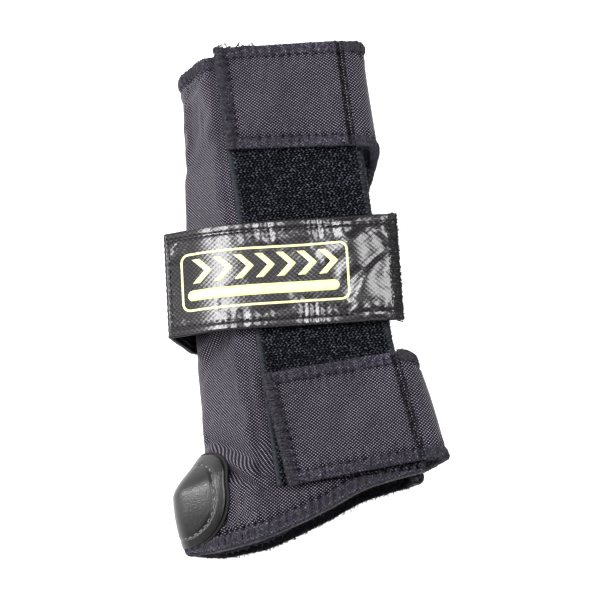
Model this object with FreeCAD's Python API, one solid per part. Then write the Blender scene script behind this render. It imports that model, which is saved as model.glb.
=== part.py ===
import FreeCAD, Part
import json
import math
import os

# Soft wrist guard for snowboarding: a padded sleeve with two sewn-in splints, two wings with
# hook-and-loop flaps down the thumb side, and an elastic wrist strap with a coated cover.
# Millimetres. The guard lies on its back with the closure up.
# X: little-finger side (-) to thumb side (+).  Y: hand (-) to forearm (+).  Z: up.

# ---- driving dimensions -------------------------------------------------------------------
BACK_Z = 1.6            # underside of the back panel, which clears the elastic band below it
FRONT_Z = 46.0          # outer face of the front panel
FOREARM_Y = 101.5       # forearm end of the sleeve
SLEEVE_LOW_Y = -100.0   # the loft runs past the curved hand end and is cut back to it

SHELL_T = 0.8           # nylon outer shell
FOAM_T = 3.2            # foam padding
LINING_T = 1.2          # terry lining
LAYER_GAP = 0.1         # between layers that are sewn together only at their edges
BINDING_T = 0.8         # overlocked edge over the ends of all layers
HINGE_GAP = 0.3         # between two bodies on either side of a fold

RIDGE_X = -25.0         # fold between the front panel and the little-finger side
RIDGE_R = 8.0
BACK_CORNER_R = 11.0
THUMB_CORNER_R = 6.5
THUMB_CORNER_X = 31.5   # outer corner of the back panel on the thumb side
WING_FOLD_X = 33.0      # line where the wings leave the back panel
WING_FOLD_Z = 10.0
FLARE_START_Y = -17.0   # towards the hand the thumb side widens from here
FLARE_SLOPE = 0.1575

LOOP_T = 1.6            # loop tape
HOOK_T = 1.3            # hook tape
FLAP_T = 1.1            # flap fabric, doubled
TAPE_GAP = 0.3          # between mated hook and loop, which are on different bodies
WING_SHELL_T = 0.9
WING_LINING_T = 1.4
UPPER_WING_CORNER_R = 7.0

SPLINT_T = 2.0
SPLINT_FIT = 0.15       # clearance of a splint in its foam pocket
DORSAL_SPLINT = {"x": (-15.0, 19.0), "y": (-62.0, 84.0)}
PALM_SPLINT = {"x": (-16.0, 20.0), "y": (-66.0, 84.0)}

STRAP_W = 42.5
STRAP_RIGHT_X = 41.0
STRAP_LEFT_X = -49.5
STRAP_BEND_X = -27.0    # the strap turns down here over the ridge of the sleeve
STRAP_BEND_R = 22.0
STRAP_DROP = 10.0       # from the flat of the strap to its little-finger end
STRAP_CENTRE = (-4.0, 9.3)
STRAP_YAW = -3.5        # degrees, the strap runs slightly askew round the sleeve
COVER_T = 0.7           # coated cover of the strap
WEBBING_T = 1.3
ELASTIC_T = 1.4
ANCHOR_RIGHT_X = 25.0
LINK_FOOT = (-42.0, 0.7)
LINK_TOP = (-50.3, 40.2)
LINK_END_GAPS = (1.0, 0.8)

# Print on the strap cover, with Y from the strap's centre line.
PRINT_T = 0.13
PRINT_LIFT = 0.02
PRINT_X = (-44.0, 21.4)
PRINT_Y = (-12.1, 11.0)
PRINT_LINE = 0.9
PRINT_CORNER_R = 3.2
BAR_X = (-41.6, 17.4)
BAR_Y = (-8.0, -3.8)
BAR_END_R = 2.0
CHEVRONS = 7
CHEVRON_X = -39.5
CHEVRON_PITCH = 8.2
CHEVRON_Y = (-1.2, 8.4)
CHEVRON_W = 3.0

# Layers of the leather patch: depth range outside the shell, how much smaller it is cut.
PATCH_LAYERS = {"heel_patch_underlay": (0.1, 1.0, 0.0), "heel_patch": (1.1, 2.3, 1.3)}
PATCH_LOW_Z = 2.6       # the patch stops short of the surface the guard lies on

# Levels over the front panel that follow from the thicknesses.
LOOP_TOP = FRONT_Z + LOOP_T
HOOK_LOW = LOOP_TOP + TAPE_GAP
FLAP_LOW = HOOK_LOW + HOOK_T + LAYER_GAP
FLAP_TOP = FLAP_LOW + FLAP_T
STRAP_TOP = HOOK_LOW + HOOK_T + LAYER_GAP + WEBBING_T + LAYER_GAP + COVER_T
SLEEVE_T = SHELL_T + FOAM_T + LINING_T + 2 * LAYER_GAP

# Stations of the sleeve: Y, little-finger side X, its Z, its radius, back corner X.
STATIONS = (
    (104.0, -36.3, 22.0, 13.0, -30.5),
    (FLARE_START_Y, -43.6, 22.0, 13.0, -36.0),
    (-52.0, -44.6, 21.0, 11.0, -36.5),
    (-69.0, -56.2, 19.0, 6.5, -40.0),
    (SLEEVE_LOW_Y, -57.0, 18.0, 6.5, -40.0),
)
# Hand end of the sleeve, seen from above.
HAND_EDGE = (
    (64.0, -70.5), (41.0, -73.0), (19.0, -76.5), (2.0, -83.0),
    (-11.5, -87.7), (-25.0, -91.3), (-43.0, -92.4), (-62.0, -90.5),
)
# Free edge of the front panel on the thumb side: Y, X.
FREE_EDGE = ((104.0, 31.8), (FLARE_START_Y, 34.4), (SLEEVE_LOW_Y, 44.6))
LOOP_OUTLINE = (
    (-21.0, 101.0), (31.2, 101.0), (33.8, -17.0), (40.9, -72.4), (-16.2, -72.4), (-17.2, -17.0),
)

UPPER_STITCH_X = 30.5   # seam between upper wing and upper flap
UPPER_WING_CORNER_X = 40.2
UPPER_WING_EDGES = ((57.2, 52.0), (41.0, 8.0), (100.9, 8.0), (99.8, 52.0))
UPPER_FLAP = ((-20.4, 103.6), (30.5, 100.7), (30.5, 57.2), (-19.9, 61.7))
LOWER_STITCH = ((36.5, -32.0), (41.6, -68.7))
# Lower wing: Y, X of its corner, radius of the corner.
LOWER_WING_CORNERS = ((-18.0, 39.5, 3.2), (-30.0, 44.3, 5.4), (-42.0, 48.3, 7.4), (-76.0, 53.6, 7.4))
LOWER_WING_EDGES = ((-25.6, 52.0), (-43.0, 8.0), (-69.8, 8.0), (-69.4, 52.0))
LOWER_FLAP_LEFT = ((-17.1, -29.0), (-11.8, -73.2))
LOWER_FLAP_RIGHT_Y = (-26.4, -69.4)
HOOK_INSET = 4.0        # hook tape inside the hems of a flap

PATCH_OUTLINE = (
    (-66.0, -90.3), (-51.0, -87.4), (-44.5, -82.0), (-39.4, -74.5), (-37.5, -66.0),
    (-39.0, -58.5), (-43.2, -54.6), (-50.0, -53.4), (-66.0, -53.0),
)


# ---- geometry helpers ---------------------------------------------------------------------
def vec(x, y, z):
    return FreeCAD.Vector(x, y, z)


def between(table, y):
    """Straight-line value at y in a table of (y, value) that falls in y."""
    for (y0, a), (y1, b) in zip(table, table[1:]):
        if y >= y1:
            return a + (b - a) * (y - y0) / (y1 - y0)
    return table[-1][1]


def rounded_path(corners, inward):
    """Lines and arcs through corners (x, z, radius), moved inward, which is left of the direction.

    Gives a list of ("line", a, b) and ("arc", a, middle, b) in the XZ plane.
    """
    spans = []
    cursor = None
    last = len(corners) - 1
    for i, (x, z, radius) in enumerate(corners):
        before = corners[max(i - 1, 0)]
        after = corners[min(i + 1, last)]
        if i in (0, last):
            a, b = (corners[0], corners[1]) if i == 0 else (corners[last - 1], corners[last])
            length = math.hypot(b[0] - a[0], b[1] - a[1])
            normal = (-(b[1] - a[1]) / length, (b[0] - a[0]) / length)
            point = (x + normal[0] * inward, z + normal[1] * inward)
            if i == last:
                spans.append(("line", cursor, point))
            cursor = point
            continue
        a1 = math.atan2(z - before[1], x - before[0])
        a2 = math.atan2(after[1] - z, after[0] - x)
        turn = (a2 - a1) % (2 * math.pi)
        reach = radius * math.tan(turn / 2)
        start = (x - reach * math.cos(a1), z - reach * math.sin(a1))
        centre = (start[0] - radius * math.sin(a1), start[1] + radius * math.cos(a1))
        r = radius - inward
        ends = [
            (centre[0] + r * math.sin(a), centre[1] - r * math.cos(a))
            for a in (a1, a1 + turn / 2, a1 + turn)
        ]
        spans.append(("line", cursor, ends[0]))
        spans.append(("arc", *ends))
        cursor = ends[2]
    return spans


def line(a, b, y):
    return Part.LineSegment(vec(a[0], y, a[1]), vec(b[0], y, b[1])).toShape()


def edge_of(span, y, backwards=False):
    points = [vec(p[0], y, p[1]) for p in span[1:]]
    if backwards:
        points.reverse()
    if span[0] == "line":
        return Part.LineSegment(*points).toShape()
    return Part.Arc(*points).toShape()


def band_wire(corners, y, outer, inner):
    """Closed wire of a layer between two depths below the outline."""
    out = rounded_path(corners, outer)
    inn = rounded_path(corners, inner)
    edges = [edge_of(s, y) for s in out]
    edges.append(line(out[-1][-1], inn[-1][-1], y))
    edges += [edge_of(s, y, backwards=True) for s in reversed(inn)]
    edges.append(line(inn[0][1], out[0][1], y))
    return Part.Wire(edges)


def band(outlines, outer, inner):
    """Solid layer lofted straight between outlines given as (y, corners)."""
    wires = [band_wire(corners, y, outer, inner) for y, corners in outlines]
    return Part.makeLoft(wires, True, True)


def prism(points, low, high):
    """Upright solid over a straight-sided outline seen from above."""
    closed = [vec(x, y, low) for x, y in points]
    closed.append(closed[0])
    return Part.Face(Part.makePolygon(closed)).extrude(vec(0, 0, high - low))


def side_prism(points):
    """Solid right across the guard over an outline (y, z) seen from the side."""
    closed = [vec(-80, y, z) for y, z in points]
    closed.append(closed[0])
    return Part.Face(Part.makePolygon(closed)).extrude(vec(180, 0, 0))


def curved_prism(points, low, high, closing):
    """Upright solid over a smooth curve through points, closed by straight lines through closing."""
    curve = Part.BSplineCurve()
    curve.interpolate([vec(x, y, low) for x, y in points])
    corners = [points[-1], *closing, points[0]]
    edges = [curve.toShape()]
    for a, b in zip(corners, corners[1:]):
        edges.append(Part.LineSegment(vec(a[0], a[1], low), vec(b[0], b[1], low)).toShape())
    return Part.Face(Part.Wire(edges)).extrude(vec(0, 0, high - low))


def inset(points, amount):
    """Convex outline moved inward by amount."""
    n = len(points)
    cx = sum(p[0] for p in points) / n
    cy = sum(p[1] for p in points) / n
    lines = []
    for (x0, y0), (x1, y1) in zip(points, points[1:] + points[:1]):
        length = math.hypot(x1 - x0, y1 - y0)
        nx, ny = -(y1 - y0) / length, (x1 - x0) / length
        if (cx - x0) * nx + (cy - y0) * ny < 0:
            nx, ny = -nx, -ny
        lines.append((nx, ny, nx * x0 + ny * y0 + amount))
    result = []
    for (a, b, c), (d, e, f) in zip(lines[-1:] + lines[:-1], lines):
        det = a * e - b * d
        result.append(((c * e - b * f) / det, (a * f - c * d) / det))
    return result


def box(x, y, z):
    return Part.makeBox(x[1] - x[0], y[1] - y[0], z[1] - z[0], vec(x[0], y[0], z[0]))


# ---- the sleeve ---------------------------------------------------------------------------
def flare(y):
    return FLARE_SLOPE * max(0.0, FLARE_START_Y - y)


def sleeve_outlines():
    rows = []
    for y, side_x, side_z, side_r, back_x in STATIONS:
        fold = (WING_FOLD_X + flare(y), WING_FOLD_Z - HINGE_GAP)
        rows.append((y, [
            (between(FREE_EDGE, y), FRONT_Z, 0.0),
            (RIDGE_X, FRONT_Z, RIDGE_R),
            (side_x, side_z, side_r),
            (back_x, BACK_Z, BACK_CORNER_R),
            (THUMB_CORNER_X + flare(y), BACK_Z, THUMB_CORNER_R),
            (fold[0], fold[1], 0.0),
        ]))
    return rows


def sleeve_ends(trim):
    """Everything between the forearm end and the curved hand end, shortened by trim at both."""
    edge = [(x, y + trim) for x, y in HAND_EDGE]
    top = FOREARM_Y - trim
    return curved_prism(edge, -10.0, 80.0, [(edge[-1][0], top), (edge[0][0], top)])


def sleeve_layer(outer, inner):
    return band(sleeve_outlines(), outer, inner).common(sleeve_ends(BINDING_T + LAYER_GAP))


def splint(region, low):
    """Flat stay with rounded ends."""
    x, y = region["x"], region["y"]
    solid = box(x, y, (low, low + SPLINT_T))
    upright = [e for e in solid.Edges if abs(e.Vertexes[0].Z - e.Vertexes[1].Z) > SPLINT_T / 2]
    return solid.makeFillet(10.0, upright)


def pocket(region, low):
    x, y = region["x"], region["y"]
    f = SPLINT_FIT
    return box((x[0] - f, x[1] + f), (y[0] - f, y[1] + f), (low - f, low + SPLINT_T + f))


def make_sleeve():
    parts = {}
    foam_out = SHELL_T + LAYER_GAP
    foam_in = foam_out + FOAM_T
    dorsal_low = FRONT_Z - foam_out - (FOAM_T + SPLINT_T) / 2
    palm_low = BACK_Z + foam_out + (FOAM_T - SPLINT_T) / 2
    parts["outer_shell"] = sleeve_layer(0.0, SHELL_T)
    foam = sleeve_layer(foam_out, foam_in)
    foam = foam.cut(pocket(DORSAL_SPLINT, dorsal_low))
    parts["foam_padding"] = foam.cut(pocket(PALM_SPLINT, palm_low))
    parts["inner_lining"] = sleeve_layer(foam_in + LAYER_GAP, SLEEVE_T)
    parts["dorsal_splint"] = splint(DORSAL_SPLINT, dorsal_low)
    parts["palm_splint"] = splint(PALM_SPLINT, palm_low)
    whole = band(sleeve_outlines(), 0.0, SLEEVE_T).common(sleeve_ends(0.0))
    rim = whole.cut(sleeve_ends(BINDING_T))
    for solid in rim.Solids:
        name = "forearm_binding" if solid.CenterOfMass.y > 0 else "hand_binding"
        parts[name] = solid
    parts["loop_panel"] = prism(LOOP_OUTLINE, FRONT_Z, LOOP_TOP)
    return parts


def make_patch():
    parts = {}
    for name, (near, far, smaller) in PATCH_LAYERS.items():
        outline = [(x - smaller, y) for x, y in PATCH_OUTLINE]
        middle = (PATCH_OUTLINE[0][1] + PATCH_OUTLINE[-1][1]) / 2
        outline = [(x, y + smaller * (middle - y) / abs(middle - PATCH_OUTLINE[0][1])) for x, y in outline]
        region = curved_prism(outline, PATCH_LOW_Z, 60.0, [])
        parts[name] = band(sleeve_outlines(), -far, -near).common(region)
    return parts


# ---- wings and flaps ----------------------------------------------------------------------
def stitch_x(y):
    """Seam between lower wing and lower flap."""
    (x0, y0), (x1, y1) = LOWER_STITCH
    return x0 + (x1 - x0) * (y - y0) / (y1 - y0)


def wing(prefix, rows, edges):
    """Side wall and turned-over top of a wing: rows of (y, fold x, corner x, radius, seam x)."""
    outlines = []
    for y, fold_x, corner_x, radius, seam_x in rows:
        outlines.append((y, [
            (fold_x, WING_FOLD_Z + HINGE_GAP, 0.0),
            (corner_x, FLAP_TOP, radius),
            (seam_x + HINGE_GAP, FLAP_TOP, 0.0),
        ]))
    region = side_prism(edges)
    lining = WING_SHELL_T + LAYER_GAP
    return {
        prefix + "_shell": band(outlines, 0.0, WING_SHELL_T).common(region),
        prefix + "_lining": band(outlines, lining, lining + WING_LINING_T).common(region),
    }


def flap(prefix, outline):
    return {
        prefix + "_fabric": prism(outline, FLAP_LOW, FLAP_TOP),
        prefix + "_hook_tape": prism(inset(list(outline), HOOK_INSET), HOOK_LOW, HOOK_LOW + HOOK_T),
    }


def make_upper():
    section = (WING_FOLD_X, UPPER_WING_CORNER_X, UPPER_WING_CORNER_R, UPPER_STITCH_X)
    rows = [(y, *section) for y in (110.0, 30.0)]
    parts = wing("upper_wing", rows, UPPER_WING_EDGES)
    seam = UPPER_STITCH_X - HINGE_GAP
    outline = [(min(x, seam), y) for x, y in UPPER_FLAP]
    parts.update(flap("upper_flap", outline))
    return parts


def make_lower():
    rows = [(y, WING_FOLD_X + flare(y), x, radius, stitch_x(y)) for y, x, radius in LOWER_WING_CORNERS]
    parts = wing("lower_wing", rows, LOWER_WING_EDGES)
    top_y, low_y = LOWER_FLAP_RIGHT_Y
    right = [(stitch_x(y) - HINGE_GAP, y) for y in (top_y, low_y)]
    outline = [LOWER_FLAP_LEFT[0], right[0], right[1], LOWER_FLAP_LEFT[1]]
    parts.update(flap("lower_flap", outline))
    return parts


# ---- wrist strap --------------------------------------------------------------------------
def strap_side(y):
    return STRAP_CENTRE[1] + y


def strap_band(outer, inner, left=STRAP_LEFT_X, right=STRAP_RIGHT_X, narrower=0.0):
    """Layer of the strap between two depths below its top, before it is turned askew."""
    slope = STRAP_DROP / (STRAP_BEND_X - STRAP_LEFT_X)
    corners = [
        (right, STRAP_TOP, 0.0),
        (STRAP_BEND_X, STRAP_TOP, STRAP_BEND_R),
        (left, STRAP_TOP - slope * (STRAP_BEND_X - left), 0.0),
    ]
    half = STRAP_W / 2 - narrower
    return band([(strap_side(y), corners) for y in (half, -half)], outer, inner)


def askew(shape):
    turned = shape.copy()
    turned.rotate(vec(*STRAP_CENTRE, 0), vec(0, 0, 1), STRAP_YAW)
    return turned


def elastic(foot, top):
    """Flat elastic between two points of the XZ plane, with room for the folds at its ends."""
    length = math.dist(foot, top)
    ux, uz = (top[0] - foot[0]) / length, (top[1] - foot[1]) / length
    h = ELASTIC_T / 2
    ends = (LINK_END_GAPS[0], length - LINK_END_GAPS[1])
    corners = []
    for along, side in ((ends[0], h), (ends[1], h), (ends[1], -h), (ends[0], -h)):
        corners.append(vec(foot[0] + ux * along - uz * side, strap_side(-STRAP_W / 2),
                           foot[1] + uz * along + ux * side))
    corners.append(corners[0])
    return Part.Face(Part.makePolygon(corners)).extrude(vec(0, STRAP_W, 0))


def rounded_plate(x, y, radius):
    solid = box(x, y, (0.0, 80.0))
    upright = [e for e in solid.Edges if abs(e.Vertexes[0].Z - e.Vertexes[1].Z) > 40]
    return solid.makeFillet(radius, upright)


def make_print():
    """Plain raised ink: a rounded frame, a bar and a row of chevrons."""
    y = tuple(strap_side(v) for v in PRINT_Y)
    inner_x = (PRINT_X[0] + PRINT_LINE, PRINT_X[1] - PRINT_LINE)
    inner_y = (y[0] + PRINT_LINE, y[1] - PRINT_LINE)
    frame = rounded_plate(PRINT_X, y, PRINT_CORNER_R)
    frame = frame.cut(rounded_plate(inner_x, inner_y, PRINT_CORNER_R - PRINT_LINE))
    bar_y = tuple(strap_side(v) for v in BAR_Y)
    shapes = [frame, rounded_plate(BAR_X, bar_y, BAR_END_R)]
    low, high = (strap_side(v) for v in CHEVRON_Y)
    middle = (low + high) / 2
    point = (high - low) / 2
    for i in range(CHEVRONS):
        x = CHEVRON_X + i * CHEVRON_PITCH
        outline = [
            (x, low), (x + CHEVRON_W, low), (x + CHEVRON_W + point, middle),
            (x + CHEVRON_W, high), (x, high), (x + point, middle),
        ]
        shapes.append(prism(outline, 0.0, 80.0))
    ink = strap_band(-PRINT_LIFT - PRINT_T, -PRINT_LIFT)
    pieces = []
    for shape in shapes:
        pieces += shape.common(ink).Solids
    return Part.makeCompound(pieces)


def make_strap():
    webbing_out = COVER_T + LAYER_GAP
    webbing_in = webbing_out + WEBBING_T
    hook_out = webbing_in + LAYER_GAP
    band_y = (strap_side(-STRAP_W / 2), strap_side(STRAP_W / 2))
    parts = {
        "strap_cover": strap_band(0.0, COVER_T),
        "strap_webbing": strap_band(webbing_out, webbing_in, narrower=0.4),
        "strap_hook_tape": box((-15.0, 38.0), (band_y[0] + 2, band_y[1] - 2),
                               (STRAP_TOP - hook_out - HOOK_T, STRAP_TOP - hook_out)),
        "strap_print": make_print(),
        "strap_elastic": elastic(LINK_FOOT, LINK_TOP),
        "strap_anchor": box((LINK_FOOT[0] + LINK_END_GAPS[0], ANCHOR_RIGHT_X), band_y, (0.0, ELASTIC_T)),
    }
    return {name: askew(shape) for name, shape in parts.items()}


# ---- joints, for the record ---------------------------------------------------------------
def joint_lines():
    """A point on each fold and its direction, before the whole guard is centred."""
    yaw = math.radians(STRAP_YAW)
    strap_axis = (-math.sin(yaw), math.cos(yaw), 0.0)

    def strap_point(xz):
        dx = xz[0] - STRAP_CENTRE[0]
        return (STRAP_CENTRE[0] + dx * math.cos(yaw), STRAP_CENTRE[1] + dx * math.sin(yaw), xz[1])

    def along(slope):
        length = math.hypot(slope, 1.0)
        return (slope / length, 1.0 / length, 0.0)

    seam_slope = (LOWER_STITCH[0][0] - LOWER_STITCH[1][0]) / (LOWER_STITCH[0][1] - LOWER_STITCH[1][1])
    over = FLAP_TOP + HINGE_GAP
    middle = -48.0
    return {
        "upper_wing_open": ((WING_FOLD_X, 72.0, WING_FOLD_Z), (0.0, 1.0, 0.0)),
        "upper_flap_peel": ((UPPER_STITCH_X, 79.0, over), (0.0, 1.0, 0.0)),
        "lower_wing_open": ((WING_FOLD_X + flare(middle), middle, WING_FOLD_Z), along(-FLARE_SLOPE)),
        "lower_flap_peel": ((stitch_x(middle), middle, over), along(seam_slope)),
        "strap_elastic_swing": (strap_point(LINK_FOOT), tuple(-v for v in strap_axis)),
        "strap_open": (strap_point(LINK_TOP), tuple(-v for v in strap_axis)),
    }


def extents(shapes):
    """Lowest and highest corner of the finished surfaces."""
    points = [p for shape in shapes for p in shape.tessellate(0.02)[0]]
    axes = list(zip(*((p.x, p.y, p.z) for p in points)))
    return [min(a) for a in axes], [max(a) for a in axes]


def main():
    parts = {}
    for make in (make_sleeve, make_patch, make_upper, make_lower, make_strap):
        parts.update(make())
    low, high = extents(parts.values())
    shift = vec(-(low[0] + high[0]) / 2, -(low[1] + high[1]) / 2, -low[2])
    os.makedirs("parts", exist_ok=True)
    for name, shape in parts.items():
        shape.translate(shift)
        solids = len(shape.Solids)
        print(f"{name:22} solids {solids:2}  volume {shape.Volume:9.1f}  valid {shape.isValid()}")
        shape.exportStep(f"parts/{name}.step")
    print("size", [round(b - a, 2) for a, b in zip(low, high)])
    print("shift", [round(v, 3) for v in shift])
    joints = {}
    for name, (point, axis) in joint_lines().items():
        at = [round((p + s) / 1000, 6) for p, s in zip(point, shift)]
        joints[name] = {"pos_m": at, "axis": [round(a, 6) for a in axis]}
    print("joints", json.dumps(joints))


main()
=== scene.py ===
import math

import bpy
import numpy as np
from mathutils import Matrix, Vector
from mathutils.bvhtree import BVHTree


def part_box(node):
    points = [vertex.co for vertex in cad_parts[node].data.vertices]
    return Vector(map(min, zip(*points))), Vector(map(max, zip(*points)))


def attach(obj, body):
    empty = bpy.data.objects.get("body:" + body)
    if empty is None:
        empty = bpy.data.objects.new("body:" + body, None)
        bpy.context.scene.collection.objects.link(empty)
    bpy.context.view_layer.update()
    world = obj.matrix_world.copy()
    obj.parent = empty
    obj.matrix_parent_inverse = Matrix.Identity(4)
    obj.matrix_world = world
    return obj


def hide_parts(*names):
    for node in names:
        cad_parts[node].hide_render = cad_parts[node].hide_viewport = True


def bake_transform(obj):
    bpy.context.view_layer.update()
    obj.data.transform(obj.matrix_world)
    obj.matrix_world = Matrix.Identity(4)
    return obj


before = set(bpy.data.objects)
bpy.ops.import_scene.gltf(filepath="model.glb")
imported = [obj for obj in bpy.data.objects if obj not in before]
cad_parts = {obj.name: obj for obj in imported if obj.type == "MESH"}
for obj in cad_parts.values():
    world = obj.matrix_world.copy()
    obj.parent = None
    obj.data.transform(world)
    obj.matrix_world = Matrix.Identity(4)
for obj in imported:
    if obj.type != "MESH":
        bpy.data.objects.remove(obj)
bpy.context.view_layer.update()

# Lengths below are millimetres in the guard's own design frame: X towards the thumb, Y up the
# forearm, Z up through the closure. SHIFT moves them to the row frame, where the loop panel's
# low corner and the underside of the strap's elastic are known.
MM = 0.001
LOOP_LOW = (-21.0, -72.4)
loop_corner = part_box("loop_panel")[0]
SHIFT = np.array([
    loop_corner[0] / MM - LOOP_LOW[0],
    loop_corner[1] / MM - LOOP_LOW[1],
    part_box("strap_anchor")[0][2] / MM,
])
rng = np.random.default_rng(7)


def place(points):
    """Design millimetres to row-frame metres."""
    return (np.asarray(points, float) + SHIFT) * MM


# ---- the sleeve's shape -------------------------------------------------------------------
BACK_Z, FRONT_Z, FOREARM_Y, LOW_Y, HIGH_Y = 1.6, 46.0, 101.5, -100.0, 106.0
SLEEVE_T = 5.4
RIDGE_X, RIDGE_R, BACK_R, THUMB_R = -25.0, 8.0, 11.0, 6.5
FLARE_Y, FLARE_SLOPE = -17.0, 0.1575
FOLD_X, FOLD_Z, THUMB_X = 33.0, 10.0, 31.5
STATION_Y = (-100.0, -69.0, -52.0, -17.0, 106.0)
STATION = {                                  # little-finger side at each station
    "side_x": (-57.0, -56.4, -45.4, -43.6, -36.2),
    "side_z": (18.0, 19.0, 21.0, 22.0, 22.0),
    "side_r": (6.5, 6.5, 11.0, 13.0, 13.0),
    "back_x": (-40.0, -40.0, -36.5, -36.0, -30.5),
    "free_x": (44.6, 40.6, 38.4, 34.4, 31.8),
}
HAND_EDGE = (
    (-62.0, -90.5), (-43.0, -92.4), (-25.0, -91.3), (-11.5, -87.7),
    (2.0, -83.0), (19.0, -76.5), (41.0, -73.0), (64.0, -70.5),
)
SPANS = (92, 8, 44, 8, 26, 10, 84, 6, 4)     # mesh columns on each straight and bend


def smooth_between(xs, ys, at):
    """Smooth curve through points that doesn't overshoot them."""
    xs, ys, at = np.asarray(xs, float), np.asarray(ys, float), np.asarray(at, float)
    slope = np.diff(ys) / np.diff(xs)
    tangent = np.zeros_like(ys)
    keep = slope[:-1] * slope[1:] > 0
    mean = 2 * slope[:-1] * slope[1:] / np.where(keep, slope[:-1] + slope[1:], 1)
    tangent[1:-1] = np.where(keep, mean, 0)
    tangent[0], tangent[-1] = slope[0], slope[-1]
    i = np.clip(np.searchsorted(xs, at) - 1, 0, len(xs) - 2)
    h = xs[i + 1] - xs[i]
    t = np.clip((at - xs[i]) / h, 0, 1)
    a = (1 + 2 * t) * (1 - t) ** 2 * ys[i] + t * (1 - t) ** 2 * h * tangent[i]
    return a + t * t * (3 - 2 * t) * ys[i + 1] - t * t * (1 - t) * h * tangent[i + 1]


def flare(y):
    """How much wider the thumb side is towards the hand."""
    return FLARE_SLOPE * max(0.0, FLARE_Y - y)


def rounded_path(corners, spans):
    """Points and outward normals along a path with rounded corners (x, z, radius)."""
    points, normals = [], []
    cursor = np.array(corners[0][:2])
    last = len(corners) - 1
    for i in range(1, last + 1):
        corner = np.array(corners[i][:2])
        before = np.array(corners[i - 1][:2])
        a1 = math.atan2(*(corner - before)[::-1])
        out = np.array([math.sin(a1), -math.cos(a1)])
        if i == last:
            stop = corner
        else:
            after = np.array(corners[i + 1][:2])
            turn = (math.atan2(*(after - corner)[::-1]) - a1) % (2 * math.pi)
            radius = corners[i][2]
            stop = corner - radius * math.tan(turn / 2) * np.array([math.cos(a1), math.sin(a1)])
        n = spans[2 * i - 2]
        for k in range(n if i < last else n + 1):
            points.append(cursor + (stop - cursor) * k / n)
            normals.append(out)
        if i < last:
            centre = stop - radius * out
            n = spans[2 * i - 1]
            for k in range(n):
                a = a1 + turn * k / n
                out = np.array([math.sin(a), -math.cos(a)])
                points.append(centre + radius * out)
                normals.append(out)
            out = np.array([math.sin(a1 + turn), -math.cos(a1 + turn)])
            cursor = centre + radius * out
    return np.array(points), np.array(normals)


def sleeve_section(y):
    """Section of the sleeve at Y, from its free front edge round to the fold on the thumb side."""
    s = {key: float(smooth_between(STATION_Y, values, y)) for key, values in STATION.items()}
    corners = [
        (s["free_x"], FRONT_Z, 0), (RIDGE_X, FRONT_Z, RIDGE_R),
        (s["side_x"], s["side_z"], s["side_r"]), (s["back_x"], BACK_Z, BACK_R),
        (THUMB_X + flare(y), BACK_Z, THUMB_R), (FOLD_X + flare(y), FOLD_Z - 0.3, 0),
    ]
    return rounded_path(corners, SPANS)


TABLE_Y = np.arange(LOW_Y, HIGH_Y + 0.5, 1.0)
sections = [sleeve_section(y) for y in TABLE_Y]
TABLE_P = np.array([s[0] for s in sections])
TABLE_N = np.array([s[1] for s in sections])
COLUMNS = TABLE_P.shape[1]
SIDE_COLUMN = sum(SPANS[:3]) + SPANS[3] // 2         # along the fold of the little-finger side
steps = np.linalg.norm(np.diff(TABLE_P, axis=1), axis=2)
TABLE_S = np.concatenate([np.zeros((len(TABLE_Y), 1)), np.cumsum(steps, axis=1)], axis=1)
TABLE_S -= TABLE_S[:, SIDE_COLUMN:SIDE_COLUMN + 1]


def at_column(column, y):
    """Section point, normal and distance from the side fold, for whole columns and any y."""
    t = np.clip(y - LOW_Y, 0, len(TABLE_Y) - 1.001)
    i = t.astype(int)
    f = (t - i)[..., None]
    p = TABLE_P[i, column] * (1 - f) + TABLE_P[i + 1, column] * f
    n = TABLE_N[i, column] * (1 - f) + TABLE_N[i + 1, column] * f
    s = TABLE_S[i, column] * (1 - f[..., 0]) + TABLE_S[i + 1, column] * f[..., 0]
    return p, n / np.linalg.norm(n, axis=-1, keepdims=True), s


def sleeve_at(s, y, height=0.0):
    """Points on the sleeve at distance s round it from the side fold, and their normals."""
    s, y = np.broadcast_arrays(np.asarray(s, float), np.asarray(y, float))
    points, normals = np.zeros(s.shape + (3,)), np.zeros(s.shape + (3,))
    for k in np.ndindex(s.shape):
        t = min(max(y[k] - LOW_Y, 0), len(TABLE_Y) - 1.001)
        i, f = int(t), t - int(t)
        both = [
            [np.interp(s[k], TABLE_S[j], TABLE_P[j, :, c]) for c in (0, 1)]
            + [np.interp(s[k], TABLE_S[j], TABLE_N[j, :, c]) for c in (0, 1)]
            for j in (i, i + 1)
        ]
        x, z, nx, nz = np.array(both[0]) * (1 - f) + np.array(both[1]) * f
        length = math.hypot(nx, nz)
        h = height if np.isscalar(height) else height[k]
        points[k] = (x + nx / length * h, y[k], z + nz / length * h)
        normals[k] = (nx / length, 0, nz / length)
    return points, normals


def hand_edge_y(x):
    """Y of the sleeve's hand end, which is cut on a slant."""
    xs, ys = zip(*HAND_EDGE)
    return smooth_between(xs, ys, x)


def bump(x, centre, width):
    """1 at the centre, falling off smoothly on both sides."""
    return np.exp(-(((x - centre) / width) ** 2))


TAPER = 0.12                                 # share of a ridge over which each end dies out


def ridge_line(x, y, a, b, width):
    """1 on the straight line from a to b, falling off across it and towards its ends."""
    d = np.array(b, float) - np.array(a, float)
    t = ((x - a[0]) * d[0] + (y - a[1]) * d[1]) / (d @ d)
    across = ((x - a[0]) * d[1] - (y - a[1]) * d[0]) / math.hypot(*d)
    ends = np.clip(t / TAPER, 0, 1) * np.clip((1 - t) / TAPER, 0, 1)
    return np.exp(-((across / width) ** 2)) * ends * ends * (3 - 2 * ends)


END_ROWS, END_STEP, MIDDLE_ROWS = 26, 0.5, 112     # rows are closer together at the hems
HAND_HEM, ARM_HEM = 5.6, 4.6


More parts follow.
